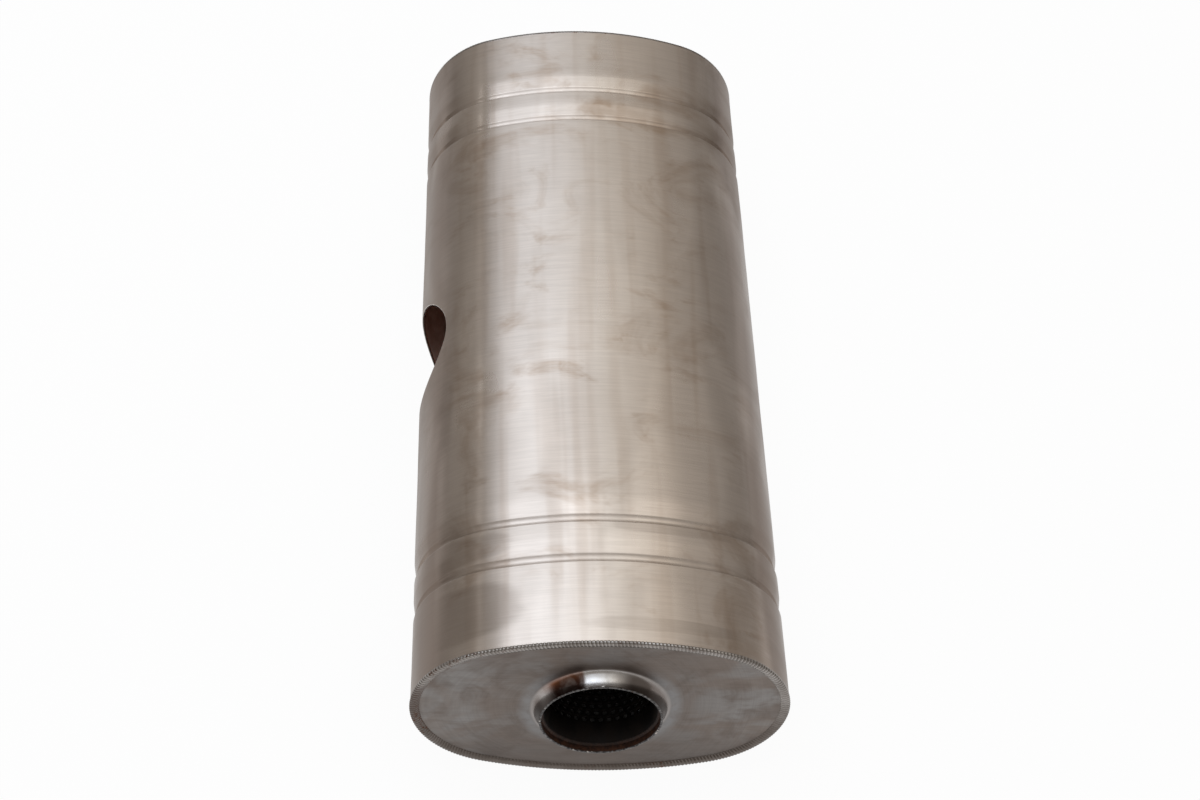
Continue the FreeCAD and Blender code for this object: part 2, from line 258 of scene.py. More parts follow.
def wall_inset(y):
    """How far rolling has pulled the outer surface in at a place along Y."""
    case = bpy.context.scene.muffler_case
    y = np.asarray(y, float)
    inset = np.zeros_like(y)
    width, depth = case.groove_width, case.groove_depth
    run, drawn = case.draw_in_run, case.draw_in_depth
    groove_radius = ((width / 2) ** 2 + depth ** 2) / (2 * depth)
    groove_centre = drawn + depth - groove_radius
    for place in groove_places():
        # The sheet slopes down to a groove from behind and stands up straight again in front of it
        lip = place + width / 2
        fall = np.clip((lip + run - y) / run, 0, 1)
        inset = np.where((y > place) & (y < lip + run), drawn * fall ** SLOPE_BEND, inset)
        across = np.maximum(groove_radius ** 2 - (y - place) ** 2, 0)
        dip = groove_centre + np.sqrt(across)
        soft = case.lip_round
        mixed = np.clip(0.5 + 0.5 * (dip - inset) / soft, 0, 1)
        bent = inset * (1 - mixed) + dip * mixed + soft * mixed * (1 - mixed)
        inset = np.where(np.abs(y - place) < width * GROOVE_REACH, bent, inset)
    return inset


# Steps between the case's rows: on a plain run, in a groove and on the slope behind it
PLAIN_STEP, GROOVE_STEP, SLOPE_STEP = 0.0045, 0.00034, 0.0011
# How far the close rows reach past a groove's lips, and further still on the outlet's side
LIP_MARGIN, OUTLET_MARGIN = 0.0006, 0.0009


def rows_along():
    """Places along Y for the case's rows: close in the grooves, wide on the plain runs."""
    case = bpy.context.scene.muffler_case
    reach = case.groove_width / 2 + case.draw_in_run
    lip = case.groove_width / 2 + LIP_MARGIN
    marks = [(y, PLAIN_STEP) for y in (FRONT_Y, REAR_Y, *PATCH_ROWS)]
    for place in groove_places():
        marks += [(place - lip - OUTLET_MARGIN, GROOVE_STEP), (place + lip, SLOPE_STEP)]
        marks.append((place + reach, PLAIN_STEP))
    marks.sort()
    rows = []
    for (start, step), (stop, _) in zip(marks, marks[1:]):
        count = max(1, round((stop - start) / step))
        rows += [start + (stop - start) * k / count for k in range(count)]
    return np.array(rows + [REAR_Y])


def sheet_noise(points, scale, depth, seed):
    """Smooth noise at an array of points."""
    offset = Vector((seed * 7.31, seed * 3.77, seed * 5.13))
    flat = points.reshape(-1, 3)
    values = [noise.fractal(Vector(p) / scale + offset, 0.6, 2.0, depth) for p in flat]
    return np.array(values).reshape(points.shape[:-1])


def ring_noise(turns, scale, height):
    """Noise at each place round a ring. A larger scale is finer."""
    return np.array([noise.noise(Vector((math.cos(t) * scale, math.sin(t) * scale, height))) for t in turns])


def line_noise(marks, size, seed, height):
    """Noise at each distance along a line. A larger size is coarser."""
    return np.array([noise.noise(Vector((d / size, seed, height))) for d in marks])


def round_again(grid):
    """Repeats a grid's first column after its last one, to close it."""
    return np.concatenate([grid, grid[:, :1]], 1)


class Skin:
    """Gathers points and faces for one piece, with a map of distances round and along it."""

    def __init__(self):
        self.points, self.faces, self.map, self.finish = [], [], [], []
        self.count = 0

    def add(self, points):
        """Adds a grid of points and gives its numbers, in the same grid."""
        grid = np.asarray(points, float)
        numbers = np.arange(self.count, self.count + grid[..., 0].size).reshape(grid.shape[:-1])
        self.points.append(grid.reshape(-1, 3))
        self.count += numbers.size
        return numbers

    def cover(self, numbers, u, v, finish=0, keep=None, turn=False):
        """Covers a grid of numbered points with quads. u and v are its distances round and along."""
        corners = [np.s_[:-1, :-1], np.s_[:-1, 1:], np.s_[1:, 1:], np.s_[1:, :-1]]
        if turn:
            corners = corners[::-1]
        u, v = (np.broadcast_to(way, numbers.shape).astype(float) for way in (u, v))
        quads = np.stack([numbers[c] for c in corners], -1)
        places = np.stack([np.stack([u[c], v[c]], -1) for c in corners], -2)
        keep = np.ones(quads.shape[:2], bool) if keep is None else keep
        self.faces.append(quads[keep])
        self.map.append(places[keep].reshape(-1, 2))
        self.finish.append(np.full(int(keep.sum()), finish))

    def build(self, name, finishes, body="root"):
        """Makes the object, smooth all over, and lets it ride on its body."""
        points = np.concatenate(self.points)
        faces = np.concatenate(self.faces)
        mesh = bpy.data.meshes.new(name)
        mesh.vertices.add(len(points))
        mesh.vertices.foreach_set("co", points.astype(np.float32).ravel())
        mesh.loops.add(faces.size)
        mesh.loops.foreach_set("vertex_index", faces.astype(np.int32).ravel())
        mesh.polygons.add(len(faces))
        mesh.polygons.foreach_set("loop_start", np.arange(0, faces.size, 4, dtype=np.int32))
        mesh.polygons.foreach_set("material_index", np.concatenate(self.finish).astype(np.int32))
        layer = mesh.uv_layers.new(name="Distances")
        mesh.update(calc_edges=True)
        layer.data.foreach_set("uv", np.concatenate(self.map).astype(np.float32).ravel())
        mesh.validate()
        mesh.shade_smooth()
        for finish in finishes:
            mesh.materials.append(finish)
        piece = bpy.data.objects.new(name, mesh)
        bpy.context.scene.collection.objects.link(piece)
        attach(piece, body)
        return piece


def ring_piece(skin, section, count, shape=None, closed=True):
    """Turns a section of (radius, y) about the muffler's axis. shape may change the points."""
    turn_angles = np.linspace(0, 2 * math.pi, count, endpoint=False)
    radius, y = np.array(section).T
    grid = np.zeros((len(section), count, 3))
    grid[..., 0] = radius[:, None] * np.cos(turn_angles)
    grid[..., 1] = y[:, None]
    grid[..., 2] = AXIS_Z + radius[:, None] * np.sin(turn_angles)
    if shape is not None:
        grid = shape(grid, turn_angles)
    numbers = skin.add(grid)
    numbers = round_again(numbers)
    run = np.concatenate([[0.0], np.cumsum(np.hypot(np.diff(radius), np.diff(y)))])
    if closed:
        numbers = np.concatenate([numbers, numbers[:1]], 0)
        run = np.append(run, run[-1] + math.hypot(radius[0] - radius[-1], y[0] - y[-1]))
    around = np.append(turn_angles, 2 * math.pi) * radius.mean()
    skin.cover(numbers, around[None, :], run[:, None])


# Finishes

class Nodes:
    """Builds a tree of shader nodes from named steps."""

    def __init__(self, tree):
        self.tree = tree
        self.column = 0

    def node(self, kind, inputs=None, **settings):
        """A node with its inputs set to values or joined to sockets."""
        made = self.tree.nodes.new("ShaderNode" + kind)
        self.column += 1
        made.location = (-1800 + 180 * (self.column % 9), -260 * (self.column // 9))
        for key, value in settings.items():
            setattr(made, key, value)
        for key, value in (inputs or {}).items():
            self.put(made.inputs[key], value)
        return made

    def put(self, socket, value):
        """Sets a socket to a value, or joins it to another socket."""
        if isinstance(value, bpy.types.NodeSocket):
            self.tree.links.new(value, socket)
        elif socket.type == "RGBA" and len(value) == 3:
            socket.default_value = (*value, 1.0)
        else:
            socket.default_value = value

    def place(self):
        """Place on the object, in metres in the row frame."""
        return self.node("TexCoord").outputs["Object"]

    def distances(self):
        """Distance round and along the sheet, in metres."""
        return self.node("UVMap", uv_map="Distances").outputs["UV"]

    def stretched(self, vector, scale):
        """A place scaled in its three directions, or evenly by one number."""
        scale = scale if isinstance(scale, tuple) else (scale,) * 3
        return self.node("Mapping", {"Vector": vector, "Scale": scale}).outputs["Vector"]

    def cloud(self, place, scale, detail=3.0, rough=0.55, warp=0.0):
        """Soft noise from 0 to 1. A larger scale is finer."""
        place = self.stretched(place, scale)
        inputs = {"Vector": place, "Scale": 1.0, "Detail": detail, "Roughness": rough, "Distortion": warp}
        return self.node("TexNoise", inputs).outputs["Fac"]

    def cells(self, place, scale):
        """Distance to scattered points."""
        place = self.stretched(place, scale)
        return self.node("TexVoronoi", {"Vector": place, "Scale": 1.0}).outputs["Distance"]

    def math(self, kind, one, other=0.5, clamp=False):
        """A step of arithmetic."""
        return self.node("Math", {0: one, 1: other}, operation=kind, use_clamp=clamp).outputs[0]

    def plus(self, one, other, clamp=False):
        """Adds two values."""
        return self.math("ADD", one, other, clamp)

    def minus(self, one, other):
        """Takes one value from another."""
        return self.math("SUBTRACT", one, other)

    def times(self, product, *others):
        """Multiplies values."""
        for other in others:
            product = self.math("MULTIPLY", product, other)
        return product

    def band(self, value, low, high, to_low=0.0, to_high=1.0):
        """Maps a range smoothly to another."""
        inputs = {"Value": value, "From Min": low, "From Max": high, "To Min": to_low, "To Max": to_high}
        return self.node("MapRange", inputs, interpolation_type="SMOOTHSTEP").outputs["Result"]

    def blend(self, amount, one, other, kind="MIX"):
        """Mixes two colours."""
        made = self.node("Mix", data_type="RGBA", blend_type=kind)
        self.put(made.inputs["Factor"], amount)
        self.put(made.inputs["A"], one)
        self.put(made.inputs["B"], other)
        return made.outputs["Result"]

    def shaded(self, base, tint):
        """A colour made darker or lighter by a value near 1."""
        grey = self.node("CombineColor", {"Red": tint, "Green": tint, "Blue": tint}).outputs[0]
        return self.blend(1.0, base, grey, "MULTIPLY")

    def axes(self, vector):
        """The three parts of a place."""
        return self.node("SeparateXYZ", {"Vector": vector}).outputs

    def relief(self, height, strength, distance):
        """Turns a height into a bumped surface."""
        inputs = {"Height": height, "Strength": strength, "Distance": distance}
        return self.node("Bump", inputs).outputs["Normal"]


class Finish(Nodes):
    """One metal or wool, as a material."""

    def __init__(self, name):
        self.material = bpy.data.materials.new(name)
        self.material.use_nodes = True
        super().__init__(self.material.node_tree)
        self.shader = self.tree.nodes["Principled BSDF"]

    def set(self, **values):
        """Sets the shader's own sockets. Names have _ in place of a space."""
        for key, value in values.items():
            self.put(self.shader.inputs[key.replace("_", " ")], value)
        return self.material


# Stains on the case's top as (X, Y, half width, half length, share), in metres
STAINS = (
    (-0.086, -0.2080, 0.039, 0.0170, 0.42), (-0.084, -0.1680, 0.032, 0.0085, 0.34),
    (0.034, -0.2230, 0.040, 0.0040, 0.20), (0.040, -0.1600, 0.034, 0.0035, 0.20),
)


def brushed_case_finish():
    """Brushed stainless steel: brushing runs round the case, with painted shade on its two sides, brown
    stains, and a painted dark line of shade and dirt at each groove.
    """
    tone = bpy.context.scene.muffler_finish
    case = bpy.context.scene.muffler_case
    f = Finish("brushed case steel")
    place, sheet = f.place(), f.distances()
    x, along, z = f.axes(place)
    hair = f.cloud(sheet, (55.0, 1900.0, 1.0), 2.0, 0.6)
    fine = f.cloud(sheet, (42.0, 900.0, 1.0), 2.0, 0.6)
    coarse = f.cloud(sheet, (14.0, 330.0, 1.0), 2.0, 0.5)
    streaks = f.cloud(sheet, (85.0, 5.0, 1.0), 2.0, 0.5, 0.3)
    wide = f.cloud(sheet, (24.0, 8.0, 1.0), 2.0, 0.5, 0.5)
    blotch = f.cloud(place, (19.0, 25.0, 19.0), 4.0, 0.62, 0.9)
    spots = f.cloud(place, (52.0, 75.0, 52.0), 3.0, 0.6, 0.6)
    # Painted shade: the case's two sides, where they turn away from the overhead light, are painted darker
    # and browner
    away = f.math("ABSOLUTE", f.minus(z, AXIS_Z))
    half = (CASE_HIGH.z - CASE_LOW.z) / 2
    side = f.band(away, half - 0.0330, half - 0.0065, 1.0, 0.0)
    side = f.plus(side, f.band(wide, 0.35, 0.65, -0.10, 0.10), clamp=True)
    base = f.blend(side, tone.case_steel, tone.case_side_shade_and_stain)
    stain = f.band(blotch, 0.47, 0.70, 0.0, 0.55)
    stain = f.plus(stain, f.band(streaks, 0.46, 0.72, 0.0, 0.30))
    speckle = f.times(f.band(spots, 0.56, 0.72), f.band(blotch, 0.42, 0.58, 0.0, 0.30))
    stain = f.plus(stain, speckle, clamp=True)
    # The stains on the sides take the painted side shade as well
    base = f.blend(stain, base, f.blend(side, tone.stain, tone.case_side_shade_and_stain))
    marks = f.plus(f.times(fine, 0.4), f.times(hair, 0.35))
    marks = f.plus(marks, f.times(coarse, 0.25))
    tint = f.band(marks, 0.36, 0.64, 0.945, 1.05)
    base = f.shaded(base, tint)
    # Brown stains with plainer edges at the outlet's end
    ragged = f.times(f.minus(blotch, 0.5), 1.1)
    for middle_x, middle_y, half_x, half_y, amount in STAINS:
        over = f.math("ABSOLUTE", f.math("DIVIDE", f.minus(x, middle_x), half_x))
        long = f.math("ABSOLUTE", f.math("DIVIDE", f.minus(along, middle_y), half_y))
        far = f.math("SQRT", f.plus(f.math("POWER", over, 3.0), f.math("POWER", long, 3.0)))
        spot = f.band(f.plus(far, ragged), 1.20, 0.80, 0.0, amount)
        base = f.blend(spot, base, tone.case_side_shade_and_stain)
    # A dark broken line of painted shade, with some dirt, along each groove's lip on the outlet's side
    groove_shade_and_dirt = None
    for groove in groove_places():
        gap = f.math("ABSOLUTE", f.minus(along, groove - case.groove_width * 0.47))
        line = f.band(gap, 0.00022, 0.00075, 1.0, 0.0)
        groove_shade_and_dirt = line if groove_shade_and_dirt is None else f.math("MAXIMUM", groove_shade_and_dirt, line)
    broken = f.cloud(place, (150.0, 30.0, 150.0), 3.0, 0.7)
    groove_shade_and_dirt = f.times(groove_shade_and_dirt, f.band(broken, 0.40, 0.62, 0.08, 0.75))
    base = f.blend(groove_shade_and_dirt, base, (0.10, 0.06, 0.04))
    rough = f.plus(tone.case_gloss, f.band(wide, 0.30, 0.70, -0.05, 0.05))
    rough = f.plus(rough, f.times(stain, 0.08))
    ridges = f.cloud(sheet, (30.0, 430.0, 1.0), 1.0, 0.5)
    lines = f.plus(f.times(ridges, 0.5), f.times(coarse, 0.5))
    normal = f.relief(lines, tone.brushing, 0.00009)
    tangent = f.node("Tangent", direction_type="UV_MAP", uv_map="Distances").outputs["Tangent"]
    return f.set(
        Base_Color=base, Metallic=1.0, Roughness=rough, Normal=normal, Anisotropic=0.9,
        Anisotropic_Rotation=0.25, Tangent=tangent,
    )


def inner_finish(name="heat tinted inner steel"):
    """Unpolished steel inside the case, brown from heat."""
    tone = bpy.context.scene.muffler_finish
    f = Finish(name)
    place = f.place()
    blotch = f.cloud(place, (28.0, 18.0, 28.0), 4.0, 0.6, 0.6)
    grain = f.cloud(place, 700.0, 3.0, 0.6)
    base = f.blend(f.band(blotch, 0.35, 0.68), tone.inner_steel, (0.55, 0.32, 0.24))
    base = f.blend(f.band(grain, 0.45, 0.75, 0.0, 0.35), base, (0.80, 0.66, 0.58))
    normal = f.relief(grain, 0.25, 0.0001)
    rough = f.band(blotch, 0.3, 0.7, 0.42, 0.62)
    return f.set(Base_Color=base, Metallic=0.1, Roughness=rough, Normal=normal)


def cut_edge_finish():
    """Burnt edge of the inlet hole: black slag with bright specks and an orange line."""
    tone = bpy.context.scene.muffler_finish
    f = Finish("burnt cut edge")
    place = f.place()
    grit = f.cloud(place, 900.0, 4.0, 0.75)
    specks = f.cells(place, 1150.0)
    base = f.blend(f.band(grit, 0.38, 0.62), tone.oxide, (0.075, 0.055, 0.048))
    base = f.blend(f.band(specks, 0.22, 0.10, 0.0, 0.8), base, (0.42, 0.36, 0.32))
    sheet = bpy.context.scene.muffler_case.sheet
    inner = f.band(f.axes(f.distances())[1], sheet * 0.80, sheet * 0.98)
    base = f.blend(inner, base, (0.42, 0.10, 0.035))
    normal = f.relief(grit, 0.9, 0.0004)
    rough = f.band(grit, 0.35, 0.65, 0.75, 0.38)
    return f.set(Base_Color=base, Metallic=0.7, Roughness=rough, Normal=normal)


def bright_edge_finish():
    """Filed edge: bright bare steel."""
    f = Finish("filed bright edge")
    place = f.place()
    grit = f.cloud(place, 600.0, 3.0, 0.6)
    base = f.blend(f.band(grit, 0.35, 0.7), (0.62, 0.58, 0.54), (0.36, 0.32, 0.29))
    return f.set(Base_Color=base, Metallic=1.0, Roughness=f.band(grit, 0.3, 0.7, 0.22, 0.4))


# Radii on the outlet plate between which a tone fades in, in metres: the painted pale ring of highlight's
# outer and inner edge, the drawn collar's root, and the heat tint's edge and its darker middle
HIGHLIGHT_RING_OUTER, HIGHLIGHT_RING_INNER, COLLAR_ROOT = (0.0465, 0.0400), (0.0355, 0.0390), (0.0385, 0.0350)
TINT_EDGE, TINT_MIDDLE = (0.0392, 0.0355), (0.0335, 0.0365)


def plate_finish(name, collar):
    """Duller sanded steel of an end plate, painted darker as shade towards its bottom and down its middle.
    The outlet's has its bright collar and heat tint beside it, a painted ring of highlight round the collar
    and painted shade on the collar's right and lower side.
    """
    tone = bpy.context.scene.muffler_finish
    f = Finish(name)
    place = f.place()
    x, _, z = f.axes(place)
    up = f.minus(z, AXIS_Z)
    reach = f.math("SQRT", f.plus(f.math("POWER", x, 2.0), f.math("POWER", up, 2.0)))
    swirl = f.plus(reach, f.times(x, 0.35))
    sweep = f.node("CombineXYZ", {"X": f.times(swirl, 900.0), "Y": f.times(up, 30.0), "Z": 0.0})
    arcs = f.cloud(sweep.outputs[0], 1.0, 2.0, 0.6, 0.5)
    grain = f.cloud(place, (70.0, 1.0, 1900.0), 2.0, 0.6, 0.4)
    blotch = f.cloud(place, (21.0, 21.0, 30.0), 3.0, 0.6, 1.0)
    patch = f.cloud(place, (44.0, 44.0, 60.0), 3.0, 0.6, 0.8)
    scratch = f.cloud(place, (12.0, 1.0, 1500.0), 2.0, 0.5, 0.5)
    base = f.blend(f.band(blotch, 0.36, 0.66), tone.plate_steel, tone.plate_bloom)
    base = f.blend(f.band(patch, 0.40, 0.70, 0.0, 0.7), base, (0.118, 0.091, 0.076))
    # Painted shade: the plate is painted darker towards its bottom and down its middle, between its sides
    low = f.band(z, 0.012, 0.050, 0.55, 0.0)
    base = f.blend(low, base, (0.095, 0.080, 0.072))
    base = f.blend(f.band(f.math("ABSOLUTE", x), 0.030, 0.085, 0.45, 0.0), base, (0.100, 0.078, 0.066))
    lines = f.plus(f.times(arcs, 0.45), f.times(grain, 0.55))
    tint = f.band(lines, 0.36, 0.64, 0.92, 1.07)
    base = f.shaded(base, tint)
    base = f.blend(f.band(scratch, 0.75, 0.80, 0.0, 0.35), base, (0.07, 0.055, 0.045))
    rough = f.plus(tone.plate_gloss, f.band(blotch, 0.3, 0.7, -0.05, 0.06))
    if collar:
        flame = f.cloud(place, 150.0, 3.0, 0.6, 0.6)
        turn = f.math("DIVIDE", x, reach)
        # A pale, bluish ring of painted highlight round the collar's root, strongest to its left and right
        ring_highlight = f.times(f.band(reach, *HIGHLIGHT_RING_OUTER), f.band(reach, *HIGHLIGHT_RING_INNER))
        sides = f.band(f.math("ABSOLUTE", turn), 0.40, 0.90, 0.0, 0.65)
        ring_highlight = f.times(ring_highlight, f.times(sides, f.band(flame, 0.3, 0.6, 0.55, 1.0)))
        base = f.blend(ring_highlight, base, (0.230, 0.232, 0.236))
        drawn = f.band(reach, *COLLAR_ROOT)
        polished = f.blend(f.band(flame, 0.40, 0.66, 0.0, 0.3), tone.collar_steel, (0.34, 0.31, 0.29))
        base = f.blend(drawn, base, polished)
        rough = f.minus(rough, f.times(drawn, 0.17))
        # Tint on the upper left of the collar's rounded root, with a sharp end towards the top
        tinted = f.times(f.band(turn, -0.27, -0.33), f.band(turn, -0.99, -0.72), f.band(up, 0.0, 0.008))
        tinted = f.times(tinted, f.band(reach, *TINT_EDGE), f.band(flame, 0.2, 0.6, 0.75, 1.0))
        burnt = f.blend(f.band(reach, *TINT_MIDDLE), (0.045, 0.020, 0.015), tone.heat_tint)
        base = f.blend(tinted, base, burnt)
        # Painted shade: the drawn collar is painted darker on its right side and its lower part
        collar_shade = f.math("MAXIMUM", f.band(turn, 0.14, 0.46, 0.0, 0.9), f.band(up, 0.022, 0.006))
        base = f.blend(f.times(collar_shade, drawn), base, (0.125, 0.100, 0.088))
    normal = f.relief(lines, 0.22, 0.0001)
    return f.set(Base_Color=base, Metallic=1.0, Roughness=rough, Normal=normal, Anisotropic=0.25)


def rim_finish():
    """Rough cut rim of the collar: grey, gritty, with bright specks."""
    f = Finish("rough collar rim")
    place = f.place()
    grit = f.cloud(place, 650.0, 4.0, 0.7)
    specks = f.cloud(place, 260.0, 2.0, 0.6)
    base = f.blend(f.band(grit, 0.38, 0.70), (0.030, 0.027, 0.027), (0.20, 0.19, 0.185))
    base = f.blend(f.band(specks, 0.64, 0.72, 0.0, 0.9), base, (0.75, 0.68, 0.62))
    base = f.blend(f.band(specks, 0.36, 0.30, 0.0, 0.8), base, (0.05, 0.025, 0.015))
    normal = f.relief(grit, 0.8, 0.0004)
    return f.set(Base_Color=base, Metallic=0.9, Roughness=f.band(grit, 0.3, 0.7, 0.5, 0.28), Normal=normal)


def throat_finish():
    """Brown, oxidised inside of the collar and of the core's end."""
    f = Finish("oxidised collar bore")
    place = f.place()
    grain = f.cloud(place, 420.0, 4.0, 0.65)
    base = f.blend(f.band(grain, 0.36, 0.68), (0.032, 0.012, 0.006), (0.085, 0.031, 0.014))
    deep = f.band(f.axes(place)[1], MOUTH_Y + 0.0015, MOUTH_Y + 0.0060)
    base = f.blend(deep, base, (0.007, 0.0035, 0.0025))
    normal = f.relief(grain, 0.4, 0.0002)
    return f.set(Base_Color=base, Metallic=0.35, Roughness=0.62, Normal=normal)


def core_finish():
    """Heat darkened tube with a little shine on its punched edges."""
    tone = bpy.context.scene.muffler_finish
    f = Finish("dark core steel")
    place = f.place()
    soot = f.cloud(place, (130.0, 60.0, 130.0), 4.0, 0.6)
    grain = f.cloud(place, 900.0, 2.0, 0.6)
    base = f.blend(f.band(soot, 0.35, 0.7), tone.core_steel, (0.012, 0.008, 0.006))
    normal = f.relief(grain, 0.3, 0.0001)
    return f.set(
        Base_Color=base, Metallic=0.5, Roughness=f.band(soot, 0.3, 0.7, 0.5, 0.7), Normal=normal,
        Specular_IOR_Level=0.25,
    )


# Where the bead's left end is rusted, as places along X and Z between which the rust fades in, in metres
RUST_LEFT, RUST_LOW, RUST_HIGH = (-0.0905, -0.0960), (0.042, 0.052), (0.090, 0.078)


def weld_finish(name, stained):
    """Weld metal: bright ripples with painted highlights on their crests and painted shade in their troughs
    and towards the bottom, and brown and black spots where it is stained.
    """
    tone = bpy.context.scene.muffler_finish
    f = Finish(name)
    place = f.place()
    sheen = f.cloud(place, 75.0, 3.0, 0.6)
    spots = f.cloud(place, 430.0, 3.0, 0.7)
    run = f.cloud(place, (19.0, 19.0, 26.0), 2.0, 0.5)
    fine = f.cloud(place, 1500.0, 2.0, 0.6)
    base = f.blend(f.band(sheen, 0.35, 0.68), tone.weld_metal, (0.185, 0.163, 0.147))
    x, _, z = f.axes(place)
    sheet = f.distances()
    # A ripple's place from 0 to 1, with painted shade in its trough and a painted highlight on its crest
    step = f.math("FRACT", f.math("DIVIDE", f.axes(sheet)[0], bpy.context.scene.muffler_weld.pitch))
    trough_shade = f.math("MAXIMUM", f.band(step, 0.24, 0.04), f.band(step, 0.78, 0.97))
    # Painted shade: the bead is painted darker towards the case's bottom, where its painted ripple shade and
    # highlight also fade out
    low = f.band(z, 0.035, 0.075, 0.85, 0.0)
    clear = f.times(f.band(run, 0.35, 0.62, 0.62, 0.22), f.minus(1.0, low))
    base = f.blend(f.times(trough_shade, clear), base, (0.055, 0.045, 0.040))
    crest = f.times(f.band(step, 0.40, 0.58), f.band(step, 0.76, 0.66))
    base = f.blend(f.times(crest, clear), base, (0.46, 0.43, 0.41))
    base = f.blend(low, base, (0.108, 0.089, 0.078))
    far_left = f.times(f.band(x, *RUST_LEFT), f.band(z, *RUST_LOW), f.band(z, *RUST_HIGH))
    far_left = f.times(far_left, f.band(step, 0.25, 0.55, 0.95, 0.25))
    base = f.blend(f.times(far_left, stained), base, (0.060, 0.024, 0.014))
    joint = f.times(f.band(f.axes(sheet)[1], 0.00400, 0.00455), f.band(run, 0.42, 0.56))
    base = f.blend(f.times(joint, 0.8), base, (0.060, 0.032, 0.022))
    rust = f.times(f.band(spots, 0.53, 0.66), f.band(run, 0.44, 0.62))
    base = f.blend(f.times(rust, stained), base, (0.085, 0.038, 0.022))
    black = f.band(spots, 0.70, 0.76)
    base = f.blend(f.times(black, stained), base, tone.oxide)
    rough = f.band(sheen, 0.3, 0.7, 0.24, 0.40)
    return f.set(Base_Color=base, Metallic=1.0, Roughness=rough, Normal=f.relief(fine, 0.2, 0.00006))


def wool_finish(name, pale, shade, scale):
    """Loose fibre, matted in every direction."""
    f = Finish(name)
    place = f.place()
    one = f.cloud(place, (scale, scale * 0.12, scale), 4.0, 0.7, 1.5)
    other = f.cloud(place, (scale * 0.12, scale, scale), 4.0, 0.7, 1.5)
    fibre = f.math("MAXIMUM", one, other)
    base = f.blend(f.band(fibre, 0.42, 0.68), shade, pale)
    normal = f.relief(fibre, 1.0, 0.0008)
    return f.set(Base_Color=base, Roughness=0.9, Normal=normal, Sheen_Weight=0.3)


# Pieces

# Rings of faces between the case's grid and the inlet hole, how much closer they lie towards the hole, and
# how far round the case the grid stays away from the hole
PATCH_RINGS, PATCH_CROWDING, PATCH_MARGIN = 12, 1.6, 0.0065
# The sheet's waviness fades in over END_FADE from its ends, and over HOLE_FADE from a ring of radius
# HOLE_STILL round the inlet hole
END_FADE, HOLE_STILL, HOLE_FADE = 0.02, 0.052, 0.03


def hole_patch(skin, grid, rows, angles, depth, middle, radius, columns, lines, finish, turn):
    """Fills the gap that a grid leaves round the inlet hole, out to the hole's own line."""
    low_c, high_c = columns
    low_r, high_r = lines
    edge = [(low_r, c) for c in range(low_c, high_c)]
    edge += [(r, high_c) for r in range(low_r, high_r)]
    edge += [(high_r, c) for c in range(high_c, low_c, -1)]
    edge += [(r, low_c) for r in range(high_r, low_r, -1)]
    first = np.array([grid[r, c] for r, c in edge])
    across = np.array([math.pi - angles[c] for r, c in edge])
    along = np.array([rows[r] - MIDDLE_Y for r, c in edge])
    turn_to = np.arctan2(across / np.abs(across).max(), along / np.abs(along).max())
    target_y = radius * np.cos(turn_to)
    target_up = np.arcsin(radius * np.sin(turn_to) / middle)
    layers, u, v = [first], [across * middle], [along]
    for ring in range(1, PATCH_RINGS + 1):
        part = 1 - (1 - ring / PATCH_RINGS) ** PATCH_CROWDING
        angle = across + (target_up - across) * part
        y = MIDDLE_Y + along + (target_y - along) * part
        x, z = oval_point(math.pi - angle, depth)
        layers.append(skin.add(np.stack([x, y, z], -1)))
        u.append(angle * middle)
        v.append(y - MIDDLE_Y)
    numbers = np.array(layers)
    numbers = round_again(numbers)
    u, v = np.array(u), np.array(v) + MIDDLE_Y
    u = round_again(u) + oval_length() / 4
    v = round_again(v)
    skin.cover(numbers, u, v, finish, turn=turn)


def wall_surface(skin, depth, columns, rows, waves, finish, turn):
    """The case's outer or inner surface, at a depth under the outer one, with the inlet hole left open."""
    case = bpy.context.scene.muffler_case
    around = oval_length()
    half_seam = case.seam_width / 2
    quarter = columns // 4
    marks = [half_seam, around / 4, around / 2, 3 * around / 4, around - half_seam]
    distances = np.concatenate(
        [np.linspace(a, b, quarter, endpoint=False) for a, b in zip(marks, marks[1:])] + [[marks[-1]]]
    )
    angles = angle_at(distances)
    angle_grid, row_grid = np.meshgrid(angles, rows)
    inset = wall_inset(row_grid) + depth
    x, z = oval_point(angle_grid, inset)
    points = np.stack([x, row_grid, z], -1)
    if waves:
        ends = np.minimum(row_grid - FRONT_Y, REAR_Y - row_grid)
        fade = np.clip(ends / END_FADE, 0, 1)
        hole_gap = np.hypot(row_grid - MIDDLE_Y, (angle_grid - math.pi) * case.side_radius)
        fade *= np.clip((hole_gap - HOLE_STILL) / HOLE_FADE, 0, 1)
        inset = inset + (0.5 + sheet_noise(points, 0.055, 2, 3)) * case.waviness * fade
        x, z = oval_point(angle_grid, inset)
        points = np.stack([x, row_grid, z], -1)
    grid = skin.add(points)
    middle = case.side_radius - depth
    hole = case.hole_diameter / 2 + case.edge_break
    half_angle = math.asin(hole / middle)
    reach = int(math.ceil((half_angle * case.side_radius + PATCH_MARGIN) / (around / 4 / quarter)))
    low_r, high_r = (int(np.argmin(np.abs(rows - mark))) for mark in PATCH_ROWS)
    keep = np.ones((len(rows) - 1, len(distances) - 1), bool)
    keep[low_r:high_r, quarter - reach:quarter + reach] = False
    u = distances[None, :]
    v = rows[:, None]
    skin.cover(grid, u, v, finish, keep, turn)
    hole_patch(
        skin, grid, rows, angles, depth, middle, hole,
        (quarter - reach, quarter + reach), (low_r, high_r), finish, turn,
    )
    return grid, distances


# Faces round the hole's cut edge, and how deep its coarse and its fine grit are
EDGE_COLUMNS, EDGE_WAVE, EDGE_GRIT = 640, 0.00009, 0.00013


